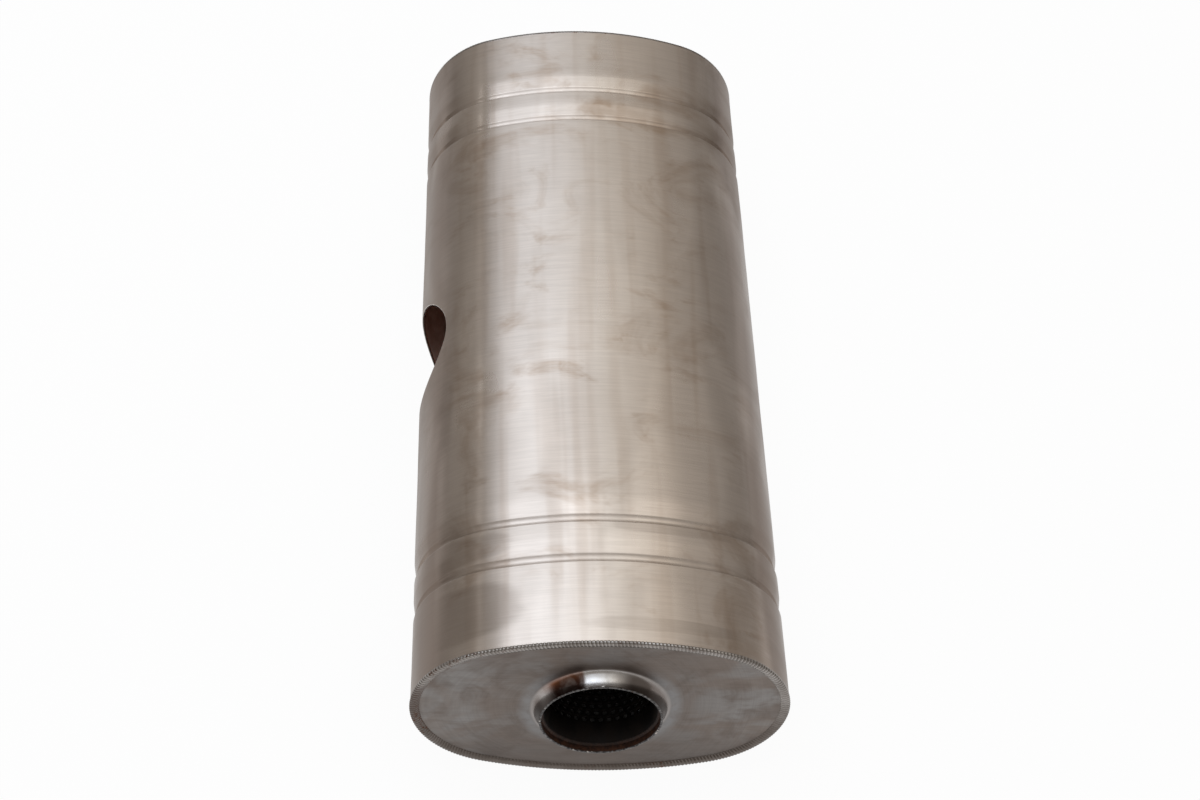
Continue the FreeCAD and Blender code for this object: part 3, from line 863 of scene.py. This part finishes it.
def hole_edge(skin, finish_edge, finish_bright):
    """The cut edge of the inlet hole, gritty, with a broken corner outside and in."""
    case = bpy.context.scene.muffler_case
    turns = np.linspace(0, 2 * math.pi, EDGE_COLUMNS, endpoint=False)
    radius = case.hole_diameter / 2
    step = case.edge_break
    lines = [
        (step, 0.0), (step * 0.35, step * 0.3), (0.0, step * 0.9), (0.0, 0.0007), (0.0, 0.0011),
        (step * 0.2, case.sheet - 0.0001), (step, case.sheet),
    ]
    grid = np.zeros((len(lines), EDGE_COLUMNS, 3))
    for number, (out, depth) in enumerate(lines):
        line = radius + out
        wave = ring_noise(turns, 46, number * 1.7)
        fine = ring_noise(turns, 160, number * 3.1)
        if 0 < number < len(lines) - 1:
            line = line + (wave * EDGE_WAVE + fine * EDGE_GRIT) * (0.6 if number == 1 else 1.5)
        y = line * np.cos(turns)
        up = line * np.sin(turns)
        angle = np.arcsin(np.clip(up / (case.side_radius - depth), -1, 1))
        x, z = oval_point(math.pi - angle, depth)
        grid[number] = np.stack([x, MIDDLE_Y + y, z], -1)
    numbers = skin.add(grid)
    numbers = round_again(numbers)
    u = np.append(turns, 2 * math.pi)[None, :] * radius
    v = np.array([depth for out, depth in lines])[:, None]
    skin.cover(numbers[:3], u, v[:3], finish_bright, turn=True)
    skin.cover(numbers[2:], u, v[2:], finish_edge, turn=True)


def sheet_ends(skin, outer, inner, distances, depth, finish):
    """Closes the sheet's edges at the two ends."""
    for row, turn in ((0, True), (-1, False)):
        one, other = outer[row], inner[row]
        step = (len(one) - 1) // (len(other) - 1)
        near = skin.add(np.concatenate(skin.points)[one[::step]])
        far = skin.add(np.concatenate(skin.points)[other])
        numbers = np.stack([near, far])
        u = distances[::step][None, :]
        v = np.array([0.0, depth])[:, None]
        skin.cover(numbers, u, v, finish, turn=turn)


class MUFFLER_OT_case(bpy.types.Operator):
    """Make the rolled case with its grooves, inlet hole and seam weld"""

    bl_idname = "muffler.case"
    bl_label = "Case"
    # The seam weld's ripples: from one to the next, their height, and how far they stand out of the sheet
    PITCH, RIPPLE, PROUD = 0.0016, 0.00006, 0.00001
    SEAM_COLUMNS, SEAM_ROWS = 9, 900

    def execute(self, context):
        case = context.scene.muffler_case
        skin = Skin()
        rows = rows_along()
        inner_rows = rows[::2] if len(rows) % 2 else np.append(rows[:-1:2], rows[-1])
        for mark in PATCH_ROWS:
            if np.abs(inner_rows - mark).min() > 1e-6:
                inner_rows = np.sort(np.append(inner_rows, mark))
        outer, distances = wall_surface(skin, 0.0, case.columns, rows, True, 0, False)
        inner, _ = wall_surface(skin, case.sheet, case.columns // 2, inner_rows, False, 1, True)
        hole_edge(skin, 2, 3)
        sheet_ends(skin, outer, inner, distances, case.sheet, 1)
        finishes = [
            brushed_case_finish(), inner_finish("heat tinted case inside"),
            cut_edge_finish(), bright_edge_finish(),
        ]
        piece = skin.build("muffler_case", finishes)
        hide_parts("case")
        self.seam(case)
        return {"FINISHED"}

    def seam(self, case):
        """The ground butt weld along the underside, flush with the sheet on both sides."""
        skin = Skin()
        around = oval_length()
        half = case.seam_width / 2 + 0.0003
        across = np.linspace(-half, half, self.SEAM_COLUMNS)
        angles = angle_at((across + around) % around)
        long_rows = np.linspace(FRONT_Y, REAR_Y, self.SEAM_ROWS)
        for depth, turn in ((0.0, False), (case.sheet, True)):
            angle_grid, row_grid = np.meshgrid(angles, long_rows)
            phase = row_grid / self.PITCH + (across[None, :] / half) ** 2 * 0.5
            crown = np.clip(1 - (across[None, :] / half) ** 2, 0, 1)
            ripple = (0.5 + 0.5 * np.cos(2 * math.pi * phase)) * self.RIPPLE * crown
            way = 1 if depth == 0.0 else -1
            inset = wall_inset(row_grid) + depth + way * (ripple - self.PROUD)
            x, z = oval_point(angle_grid, inset)
            grid = skin.add(np.stack([x, row_grid, z], -1))
            u = across[None, :]
            v = long_rows[:, None]
            skin.cover(grid, u, v, turn=turn)
        piece = skin.build("case_seam", [weld_finish("ground seam weld", 0.5)])
        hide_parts("case_seam_weld")


class MUFFLER_OT_end_plates(bpy.types.Operator):
    """Make the outlet end plate with its drawn collar, and finish the closed end plate"""

    bl_idname = "muffler.end_plates"
    bl_label = "End plates"
    # Faces along the bend inside and along the root outside, and rings of faces on the flat
    BEND_STEPS, ROOT_STEPS, FLAT_RINGS = 8, 18, 26
    # From the collar's mouth to the end of the bend inside
    STRAIGHT = 0.0036

    def execute(self, context):
        end = context.scene.muffler_end
        case = context.scene.muffler_case
        skin = Skin()
        columns = end.columns
        face_y = FRONT_Y + end.recess
        around = oval_length()
        marks = np.linspace(0, around, columns, endpoint=False)
        edge_x, edge_z = oval_point(angle_at(marks), case.sheet + 0.0001)
        turns = np.arctan2(edge_z - AXIS_Z, edge_x)
        section, bore_end, rim_end = self.collar(end)
        radius, height = np.array(section).T
        grid = np.zeros((len(section), columns, 3))
        grid[..., 0] = radius[:, None] * np.cos(turns)
        grid[..., 1] = face_y - height[:, None]
        grid[..., 2] = AXIS_Z + radius[:, None] * np.sin(turns)
        for number in range(bore_end, rim_end + 1):
            self.roughen(grid[number], turns, number, end.rim_grit)
        flats = self.flat(grid[-1], edge_x, edge_z, face_y, end.dish)
        front = round_again(np.concatenate([skin.add(grid), skin.add(flats)]))
        round_u = np.append(marks, around)[None, :]
        along = np.append(np.cumsum(np.full(len(section), 0.0006)), 0.02 + np.linspace(0, 0.06, len(flats)))
        v = along[:, None]
        skin.cover(front[:bore_end + 1], round_u, v[:bore_end + 1], 2)
        skin.cover(front[bore_end:rim_end + 1], round_u, v[bore_end:rim_end + 1], 1)
        skin.cover(front[rim_end:], round_u, v[rim_end:], 0)
        # The plate's back and its edge
        back_edge = np.stack([edge_x, np.full(columns, face_y + end.plate), edge_z], -1)
        back = [grid[0], grid[0] * 0.5 + back_edge * 0.5, back_edge, flats[-1]]
        back_grid = round_again(skin.add(np.stack(back)))
        skin.cover(back_grid, round_u, np.array([0.0, 0.02, 0.04, 0.0415])[:, None], 3, turn=True)
        finishes = [
            plate_finish("sanded outlet plate", True), rim_finish(), throat_finish(),
            inner_finish("heat tinted plate back"),
        ]
        piece = skin.build("outlet_plate", finishes)
        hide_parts("outlet_end_plate")
        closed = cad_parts["closed_end_plate"]
        closed.data.materials.clear()
        closed.data.materials.append(plate_finish("sanded closed plate", False))
        return {"FINISHED"}

    def collar(self, end):
        """The collar's section as (radius, height over the flat), from the back through the bore and over
        the rim to the flat, and the numbers of the points where its bore and its rim end."""
        outer = end.bore + end.rim
        root = outer + end.flare
        section = []
        for k in range(self.BEND_STEPS + 1):
            part = k / self.BEND_STEPS * math.pi / 2
            rise = (end.stand - self.STRAIGHT + end.plate) * (1 - math.cos(part))
            section.append((root - (root - end.bore) * math.sin(part), rise - end.plate))
        section += [(end.bore, end.stand - 0.0012), (end.bore, end.stand - 0.0005)]
        bore_end = len(section) - 1
        section += [
            (end.bore + 0.0001, end.stand - 0.0001), (end.bore + end.rim * 0.3, end.stand),
            (end.bore + end.rim * 0.55, end.stand - 0.00003), (end.bore + end.rim * 0.8, end.stand - 0.00003),
            (outer - 0.00003, end.stand - 0.00012), (outer, end.stand - 0.0004),
        ]
        rim_end = len(section) - 1
        start, high = end.lean, end.stand - 0.0005
        for k in range(self.ROOT_STEPS + 1):
            turn = start + (math.pi / 2 - start) * k / self.ROOT_STEPS
            radius = outer + end.flare * (math.cos(start) - math.cos(turn)) / math.cos(start)
            section.append((radius, high * (1 - (math.sin(turn) - math.sin(start)) / (1 - math.sin(start)))))
        return section, bore_end, rim_end

    def roughen(self, ring, turns, number, grit):
        """Gives one ring of the rim its cut roughness."""
        for point, t in zip(ring, turns):
            spot = Vector((math.cos(t) * 30, math.sin(t) * 30, number * 0.9))
            fine = Vector((math.cos(t) * 75, math.sin(t) * 75, number * 2.3))
            point[1] += (abs(noise.noise(spot) * 0.7 + noise.noise(fine) * 0.8) - 0.2) * grit
            out = noise.noise(spot + Vector((9, 4, 2))) * grit * 0.5
            point[0] += math.cos(t) * out
            point[2] += math.sin(t) * out

    def flat(self, collar_edge, edge_x, edge_z, face_y, dish):
        """Rings of points over the flat, from the collar's root to the plate's edge, slightly dished."""
        rings = []
        for ring in range(1, self.FLAT_RINGS + 1):
            part = (ring / self.FLAT_RINGS) ** 1.15
            x = collar_edge[:, 0] * (1 - part) + edge_x * part
            z = collar_edge[:, 2] * (1 - part) + edge_z * part
            wave = sheet_noise(np.stack([x, np.zeros_like(x), z], -1), 0.045, 2, 11)
            fade = math.sin(math.pi * min(1.0, part * 1.02)) ** 0.5 if part < 0.98 else 0.0
            rings.append(np.stack([x, face_y + wave * dish * fade, z], -1))
        return np.array(rings)


# The ripples' bow, slant and unevenness, in ripples, and where along a ripple its crest stands
RIPPLE_BOW, RIPPLE_SLANT, RIPPLE_UNEVEN, CREST = 0.28, 0.5, 0.14, 0.7
# How far ripples may stand out of the case at the outlet and at the closed end, and how far the toes wander
OUTLET_PROUD, CLOSED_PROUD, TOE_WANDER = 0.00045, 0.00005, 0.0003


def corner_bead(name, end_y, way, finish, seed, faces):
    """A rippled bead over the corner of the case and an end plate. way is -1 at the outlet and +1 behind."""
    weld = bpy.context.scene.muffler_weld
    end = bpy.context.scene.muffler_end
    around = oval_length()
    ripples = round(around / weld.pitch)
    columns = ripples * faces
    marks = np.linspace(0, around, columns, endpoint=False)
    angles = angle_at(marks)
    # The section as (inset, height) from the case's edge: over the case, crown, down to the plate
    toe, high = weld.over_plate, weld.proud
    line = [
        (0.0002, -weld.over_case), (-0.00008, -weld.over_case * 0.84), (-0.00018, -weld.over_case * 0.5),
        (-0.0002, -weld.over_case * 0.15), (-0.0001, high * 0.25), (0.0003, high * 0.65),
        (0.0009, high * 0.92), (0.0015, high), (0.0022, high * 0.92), (0.0029, high * 0.66),
        (toe * 0.73, high * 0.25), (toe * 0.85, -end.recess * 0.25), (toe * 0.95, -end.recess * 0.8),
        (toe, -end.recess), (toe + 0.0001, -end.recess - 0.0002),
    ]
    line = np.array(line)
    steps = np.gradient(line, axis=0)
    out = np.stack([-steps[:, 1], steps[:, 0]], -1)
    out /= np.linalg.norm(out, axis=1)[:, None]
    part = np.linspace(-1, 1, len(line))
    jitter = line_noise(marks, 0.004, seed, 0.3)
    swell = line_noise(marks, 0.05, seed, 7.3)
    wander = line_noise(marks, 0.02, seed, 3.7)
    phase = marks[None, :] / (around / ripples) - RIPPLE_BOW * (part[:, None] ** 2)
    phase = phase - RIPPLE_SLANT * part[:, None]
    phase = phase + RIPPLE_UNEVEN * jitter[None, :]
    saw = phase % 1.0
    shape = np.where(saw < CREST, saw / CREST, (1 - saw) / (1 - CREST)) ** 0.8
    envelope = np.clip(1.3 - part[:, None] ** 4, 0, 1)
    depth = weld.ripple * (0.8 + 0.5 * swell[None, :]) * envelope * (shape - 0.35)
    depth[0], depth[-1] = 0, 0
    stray = wander[None, :] * TOE_WANDER * np.clip(np.abs(part[:, None]) - 0.3, 0, 1)
    inset = line[:, 0][:, None] + out[:, 0][:, None] * depth + stray
    height = line[:, 1][:, None] + out[:, 1][:, None] * depth - stray * 0.3
    inset = np.maximum(inset, -OUTLET_PROUD if way < 0 else -CLOSED_PROUD)
    x, z = oval_point(np.broadcast_to(angles, inset.shape), inset)
    points = np.stack([x, end_y + way * height, z], -1)
    skin = Skin()
    grid = skin.add(points)
    grid = round_again(grid)
    # The first distance counts the ripples, so that the finish can follow them
    u = np.concatenate([phase, phase[:, :1] + ripples], 1) * weld.pitch
    v = np.linspace(0, 0.005, len(line))[:, None]
    skin.cover(grid, u, v, turn=way < 0)
    return skin.build(name, [finish])


class MUFFLER_OT_end_welds(bpy.types.Operator):
    """Make the rippled corner beads at both ends"""

    bl_idname = "muffler.end_welds"
    bl_label = "End welds"

    def execute(self, context):
        weld = context.scene.muffler_weld
        finish = weld_finish("rippled end weld", 1.0)
        front = corner_bead("outlet_bead", FRONT_Y, -1, finish, 1.0, weld.faces_a_ripple)
        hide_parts("outlet_end_weld")
        rear = corner_bead("closed_bead", REAR_Y, 1, finish, 5.0, weld.faces_a_ripple)
        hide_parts("closed_end_weld")
        return {"FINISHED"}


class MUFFLER_OT_core(bpy.types.Operator):
    """Make the perforated core and the bead at its end"""

    bl_idname = "muffler.core"
    bl_label = "Perforated core"
    # A hole's mouth as a share of the hole and how far it is sunk, and the round of the tube's end
    MOUTH, SINK, ROUND = 1.12, 0.00012, 0.0002

    def execute(self, context):
        core = context.scene.muffler_core
        outer = (CORE_HIGH.x - CORE_LOW.x) / 2
        inner = outer - core.wall
        skin = Skin()
        cells = core.holes_round
        step = 2 * math.pi / cells
        first_y = MOUTH_Y + core.first_row
        # One cell: a square edge and a round hole of as many points
        marks = (-1, -0.5, 0, 0.5)
        square = [(t, -1) for t in marks] + [(1, t) for t in marks]
        square = np.array(square + [(-t, 1) for t in marks] + [(-1, -t) for t in marks], float)
        around = len(square)
        turns = np.arctan2(square[:, 1], square[:, 0])
        hole = np.stack([np.cos(turns), np.sin(turns)], -1)
        for row in range(core.rows):
            row_y = first_y + row * core.row_pitch
            for cell in range(cells):
                middle = (cell + 0.5 * (row % 2)) * step
                layers = []
                for radius, edge in ((inner, 0), (inner, 1), (inner, 2), (outer, 2), (outer, 0)):
                    if edge == 0:
                        angle = middle + square[:, 0] * step / 2
                        y = row_y + square[:, 1] * core.row_pitch / 2
                    else:
                        size = core.hole / 2 * (self.MOUTH if edge == 1 else 1.0)
                        angle = middle + hole[:, 0] * size / outer
                        y = row_y + hole[:, 1] * size
                    sink = self.SINK if edge == 2 and radius == inner else 0.0
                    at = radius + sink
                    layers.append(np.stack([at * np.cos(angle), y, AXIS_Z + at * np.sin(angle)], -1))
                numbers = skin.add(np.array(layers))
                numbers = round_again(numbers)
                u = np.linspace(0, 0.01, around + 1)[None, :]
                v = np.linspace(0, 0.008, len(layers))[:, None]
                skin.cover(numbers, u, v, 0, turn=True)
        half = core.row_pitch / 2
        low_y, high_y = first_y - half, first_y + (core.rows - 1) * core.row_pitch + half
        count = cells * 4
        round_off = self.ROUND
        plain = [
            [(inner, low_y), (inner, CORE_LOW.y + round_off), (inner + round_off, CORE_LOW.y),
             (outer - round_off, CORE_LOW.y), (outer, CORE_LOW.y + round_off), (outer, low_y)],
            [(outer, high_y), (outer, CORE_HIGH.y), (inner, CORE_HIGH.y), (inner, high_y)],
        ]
        for section in plain:
            ring_piece(skin, section, count, closed=False)
        piece = skin.build("core_tube", [core_finish()])
        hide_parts("perforated_core")
        self.bead(context)
        return {"FINISHED"}

    def bead(self, context):
        """The bead on the core's end face, rough and brown."""
        low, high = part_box("core_outlet_weld")
        end = context.scene.muffler_end
        skin = Skin()
        bore = end.bore
        section = [
            (bore + 0.0001, low.y + 0.0001), (bore - 0.0002, low.y + 0.0001),
            (bore - 0.00075, low.y + 0.00045), (bore - 0.0012, low.y + 0.0010),
            (bore - 0.0015, high.y), (bore + 0.0001, high.y),
        ]

        def ripple(grid, turns):
            """Soft ripples on the bead's face."""
            waves = 0.5 + 0.5 * np.cos(turns * 110)
            lumps = ring_noise(turns, 14, 2.0)
            depth = 0.00012 * waves + 0.0001 * lumps
            for number in (2, 3):
                grid[number, :, 1] += depth
                grid[number, :, 0] += np.cos(turns) * depth
                grid[number, :, 2] += np.sin(turns) * depth
            return grid

        ring_piece(skin, section, 880, shape=ripple)
        piece = skin.build("core_bead", [throat_finish()])
        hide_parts("core_outlet_weld")


class MUFFLER_OT_inside(bpy.types.Operator):
    """Finish the baffles, tubes and beads inside, and make the wool"""

    bl_idname = "muffler.inside"
    bl_label = "Inside"
    SHEETS = ("front_baffle", "rear_baffle", "return_tube", "transfer_tube_left", "transfer_tube_right")
    # How far the wrap's and the packing's surface sinks here and there
    WRAP_LOOSE, PACKING_LOOSE = 0.0009, 0.0016
    BEADS = ("return_tube_weld", "rear_baffle_weld", "transfer_weld_left", "transfer_weld_right")

    def execute(self, context):
        tone = context.scene.muffler_finish
        steel = inner_finish()
        bead = weld_finish("inner weld metal", 0.8)
        for node in self.SHEETS:
            self.finish(node, steel)
        for node in self.BEADS:
            self.finish(node, bead)
        self.wrap(tone)
        self.packing(tone)
        return {"FINISHED"}

    def finish(self, node, material):
        """Gives a packed solid its finish."""
        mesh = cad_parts[node].data
        mesh.materials.clear()
        mesh.materials.append(material)

    def wrap(self, tone):
        """Steel wool wound round the punched tube, loose at its surface."""
        skin = Skin()
        inner = (CORE_HIGH.x - CORE_LOW.x) / 2 + 0.0004
        outer = (WRAP_HIGH.x - WRAP_LOW.x) / 2
        rows = np.linspace(WRAP_LOW.y, WRAP_HIGH.y, 40)
        section = [(outer, y) for y in rows] + [(inner, y) for y in rows[::-1]]

        def loosen(grid, turns):
            """Lets the fibre's surface sink here and there."""
            lumps = sheet_noise(grid, 0.006, 3, 5)
            depth = np.clip(0.5 + lumps, 0, 1) * self.WRAP_LOOSE
            depth[len(rows):] = 0
            away = np.stack([np.cos(turns), np.zeros_like(turns), np.sin(turns)], -1)
            return grid - away[None] * depth[..., None]

        ring_piece(skin, section, 180, shape=loosen)
        finish = wool_finish("steel wool", tone.wrap_wool, (0.012, 0.010, 0.009), 900.0)
        piece = skin.build("wool_wrap", [finish])
        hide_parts("steel_wool_wrap")

    def packing(self, tone):
        """Wool stuffed between the wrap and the case."""
        skin = Skin()
        around = oval_length()
        columns = 200
        marks = np.linspace(0, around, columns, endpoint=False)
        inset = CASE_HIGH.x - WOOL_HIGH.x
        edge_x, edge_z = oval_point(angle_at(marks), inset + 0.0002)
        turns = np.arctan2(edge_z - AXIS_Z, edge_x)
        bore = (WRAP_HIGH.x - WRAP_LOW.x) / 2 + 0.0004
        hole_x, hole_z = bore * np.cos(turns), AXIS_Z + bore * np.sin(turns)
        rows = np.linspace(WOOL_LOW.y + 0.0002, WOOL_HIGH.y - 0.0002, 26)

        def ring(part, y):
            """A ring of points, part of the way from the case to the bore."""
            return np.stack([
                edge_x * (1 - part) + hole_x * part, np.full(columns, y), edge_z * (1 - part) + hole_z * part,
            ], -1)

        parts = np.linspace(0, 1, 12)[1:-1]
        layers = [ring(0, y) for y in rows] + [ring(part, rows[-1]) for part in parts]
        layers += [ring(1, y) for y in rows[::-1]] + [ring(part, rows[0]) for part in parts[::-1]]
        grid = np.array(layers)
        lumps = np.clip(0.5 + sheet_noise(grid, 0.012, 3, 8), 0, 1)
        outside = np.zeros(len(layers), bool)
        outside[:len(rows)] = True
        pull = np.stack([edge_x - hole_x, np.zeros(columns), edge_z - hole_z], -1)
        pull /= np.linalg.norm(pull, axis=1)[:, None]
        grid[outside] -= pull[None] * (lumps[outside] * self.PACKING_LOOSE)[..., None]
        numbers = skin.add(grid)
        numbers = np.concatenate([numbers, numbers[:1]], 0)
        numbers = round_again(numbers)
        u = np.append(marks, around)[None, :]
        v = np.linspace(0, 0.2, len(numbers))[:, None]
        skin.cover(numbers, u, v)
        finish = wool_finish("wool packing", tone.packing_wool, (0.33, 0.27, 0.17), 420.0)
        piece = skin.build("packing", [finish])
        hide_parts("wool_packing")


class MUFFLER_OT_stage(bpy.types.Operator):
    """Set up the floor, the soft light and the camera"""

    bl_idname = "muffler.stage"
    bl_label = "Studio"

    # The overhead box's brightness across, as (place along X in metres, red, green, blue)
    ACROSS = (
        (-0.86, 0.71, 0.78, 0.88), (-0.62, 0.79, 0.885, 1.00), (-0.36, 0.78, 0.875, 0.99),
        (-0.10, 0.64, 0.695, 0.755), (0.20, 0.47, 0.49, 0.49), (0.42, 0.375, 0.375, 0.36),
        (0.65, 0.285, 0.273, 0.248), (0.78, 0.215, 0.20, 0.175), (0.87, 0.085, 0.077, 0.066),
        (1.30, 0.045, 0.040, 0.034),
    )
    # And along Y, as (place in metres, share)
    ALONG = (
        (-2.10, 0.18), (-0.90, 0.34), (-0.20, 0.75), (0.40, 1.00), (0.80, 1.00), (0.92, 0.92), (1.04, 0.71),
        (1.21, 0.52), (1.41, 0.30), (1.62, 0.13), (1.95, 0.06), (2.30, 0.03), (2.90, 0.02),
    )
    HEIGHT = 1.60
    # The strip's place and size on the ground plan, and its light as a share of the overhead box's
    STRIP_PLACE, STRIP_SIZE, STRIP_LIGHT = (-1.36, 0.75), (0.10, 1.9), 0.38
    # Half the floor's width, and how far it lies under the case
    FLOOR_HALF, FLOOR_DROP = 6.0, 0.0002

    def execute(self, context):
        stage = context.scene.muffler_stage
        scene = context.scene
        scene.view_settings.view_transform = "Standard"
        self.floor(scene, stage)
        self.surround(scene, stage)
        self.overhead(scene, stage)
        self.strip(scene, stage)
        self.camera(scene, stage)
        return {"FINISHED"}

    def floor(self, scene, stage):
        """A wide pale floor that shows as white and keeps the object's shadow."""
        mesh = bpy.data.meshes.new("floor")
        far = self.FLOOR_HALF
        corners = [(-far, -far, 0), (far, -far, 0), (far, far, 0), (-far, far, 0)]
        mesh.from_pydata(corners, [], [(0, 1, 2, 3)])
        piece = bpy.data.objects.new("floor", mesh)
        scene.collection.objects.link(piece)
        piece.location.z = -self.FLOOR_DROP
        material = bpy.data.materials.new("pale floor")
        material.use_nodes = True
        material.node_tree.nodes.clear()
        n = Nodes(material.node_tree)
        paint = n.node("BsdfDiffuse", {"Color": stage.floor_colour})
        white = n.node("Emission", {"Color": (1.0, 1.0, 1.0)})
        # Rays from the camera or from a glossy or clear surface see it as white
        path = n.node("LightPath").outputs
        seen = n.math("MAXIMUM", path["Is Camera Ray"], path["Is Glossy Ray"])
        seen = n.times(n.math("MAXIMUM", seen, path["Is Transmission Ray"]), stage.floor_white)
        mix = n.node("MixShader", {0: seen, 1: paint.outputs[0], 2: white.outputs[0]})
        n.node("OutputMaterial", {"Surface": mix.outputs[0]})
        mesh.materials.append(material)

    def surround(self, scene, stage):
        """Even light from all round."""
        world = bpy.data.worlds.new("studio")
        world.use_nodes = True
        scene.world = world
        sky = world.node_tree.nodes["Background"]
        sky.inputs["Color"].default_value = (*stage.surround, 1.0)
        sky.inputs["Strength"].default_value = 1.0

    def lamp(self, scene, name, place, size, brightness):
        """One rectangular soft box that faces down. A brightness of 1 looks white in a mirror."""
        data = bpy.data.lights.new(name, "AREA")
        data.shape = "RECTANGLE"
        data.size, data.size_y = size
        data.energy = brightness * math.pi * size[0] * size[1]
        box = bpy.data.objects.new(name, data)
        box.location = place
        scene.collection.objects.link(box)
        return data

    def overhead(self, scene, stage):
        """The large soft box overhead, with a sharp left edge and falling off to the right and the back."""
        low_x, high_x = self.ACROSS[0][0], self.ACROSS[-1][0]
        low_y, high_y = self.ALONG[0][0], self.ALONG[-1][0]
        size = (high_x - low_x, high_y - low_y)
        place = ((low_x + high_x) / 2, (low_y + high_y) / 2, self.HEIGHT)
        data = self.lamp(scene, "overhead box", place, size, stage.light)
        data.use_nodes = True
        n = Nodes(data.node_tree)
        over_x, over_y, _ = n.axes(n.node("NewGeometry").outputs["Parametric"])
        across = self.fall(n, over_x, [((x - low_x) / size[0], tint) for x, *tint in self.ACROSS])
        along = self.fall(n, over_y, [((y - low_y) / size[1], (part,) * 3) for y, part in self.ALONG])
        n.put(n.tree.nodes["Emission"].inputs["Color"], n.blend(1.0, across, along, "MULTIPLY"))

    def fall(self, n, value, stops):
        """A ramp of brightness over one of the soft box's sides."""
        ramp = n.node("ValToRGB", {0: value})
        marks = ramp.color_ramp.elements
        while len(marks) < len(stops):
            marks.new(0.5)
        # The places are set twice, because the marks are sorted anew as they move
        for mark, (place, _) in zip(marks, stops):
            mark.position = place
        for mark, (place, tint) in zip(marks, stops):
            mark.position = place
            mark.color = (*tint, 1.0)
        return ramp.outputs[0]

    def strip(self, scene, stage):
        """A narrow strip beside the overhead box, for the thin streak down the case's left side."""
        place = (*self.STRIP_PLACE, self.HEIGHT)
        self.lamp(scene, "strip box", place, self.STRIP_SIZE, stage.light * self.STRIP_LIGHT)

    def camera(self, scene, stage):
        """The camera at the view's angle."""
        data = bpy.data.cameras.new("camera")
        data.lens = stage.lens
        data.sensor_width = 36.0
        data.clip_start, data.clip_end = 0.05, 50.0
        eye = bpy.data.objects.new("camera", data)
        right, up = Vector(stage.eye_right), Vector(stage.eye_up)
        back = right.cross(up)
        turn = Matrix((right, up, back)).transposed().to_4x4()
        eye.matrix_world = Matrix.Translation(Vector(stage.eye)) @ turn
        scene.collection.objects.link(eye)
        scene.camera = eye


class MUFFLER_PT_panel(bpy.types.Panel):
    """Buttons and sizes of the muffler"""

    bl_idname = "MUFFLER_PT_panel"
    bl_label = "Muffler"
    bl_space_type = "VIEW_3D"
    bl_region_type = "UI"
    bl_category = "Muffler"

    def draw(self, context):
        scene = context.scene
        for operator in OPERATORS:
            self.layout.operator(operator.bl_idname)
        for name, group in GROUPS.items():
            box = self.layout.box()
            box.label(text=group.__doc__)
            settings = getattr(scene, name)
            for key in group.__annotations__:
                box.prop(settings, key)


GROUPS = {
    "muffler_case": MufflerCaseSettings,
    "muffler_end": MufflerEndSettings,
    "muffler_weld": MufflerWeldSettings,
    "muffler_core": MufflerCoreSettings,
    "muffler_finish": MufflerFinishSettings,
    "muffler_stage": MufflerStageSettings,
}
OPERATORS = [
    MUFFLER_OT_case, MUFFLER_OT_end_plates, MUFFLER_OT_end_welds, MUFFLER_OT_core, MUFFLER_OT_inside,
    MUFFLER_OT_stage,
]


def register():
    """Adds the classes and the scene's settings."""
    for group in GROUPS.values():
        bpy.utils.register_class(group)
    for operator in OPERATORS + [MUFFLER_PT_panel]:
        bpy.utils.register_class(operator)
    for name, group in GROUPS.items():
        setattr(bpy.types.Scene, name, PointerProperty(type=group))


def unregister():
    """Takes the scene's settings and the classes away."""
    for name in GROUPS:
        delattr(bpy.types.Scene, name)
    for kind in [MUFFLER_PT_panel] + OPERATORS[::-1] + list(GROUPS.values())[::-1]:
        bpy.utils.unregister_class(kind)


def main():
    """Makes every piece in order."""
    register()
    bpy.ops.muffler.case()
    bpy.ops.muffler.end_plates()
    bpy.ops.muffler.end_welds()
    bpy.ops.muffler.core()
    bpy.ops.muffler.inside()
    bpy.ops.muffler.stage()


if __name__ == "__main__":
    main()
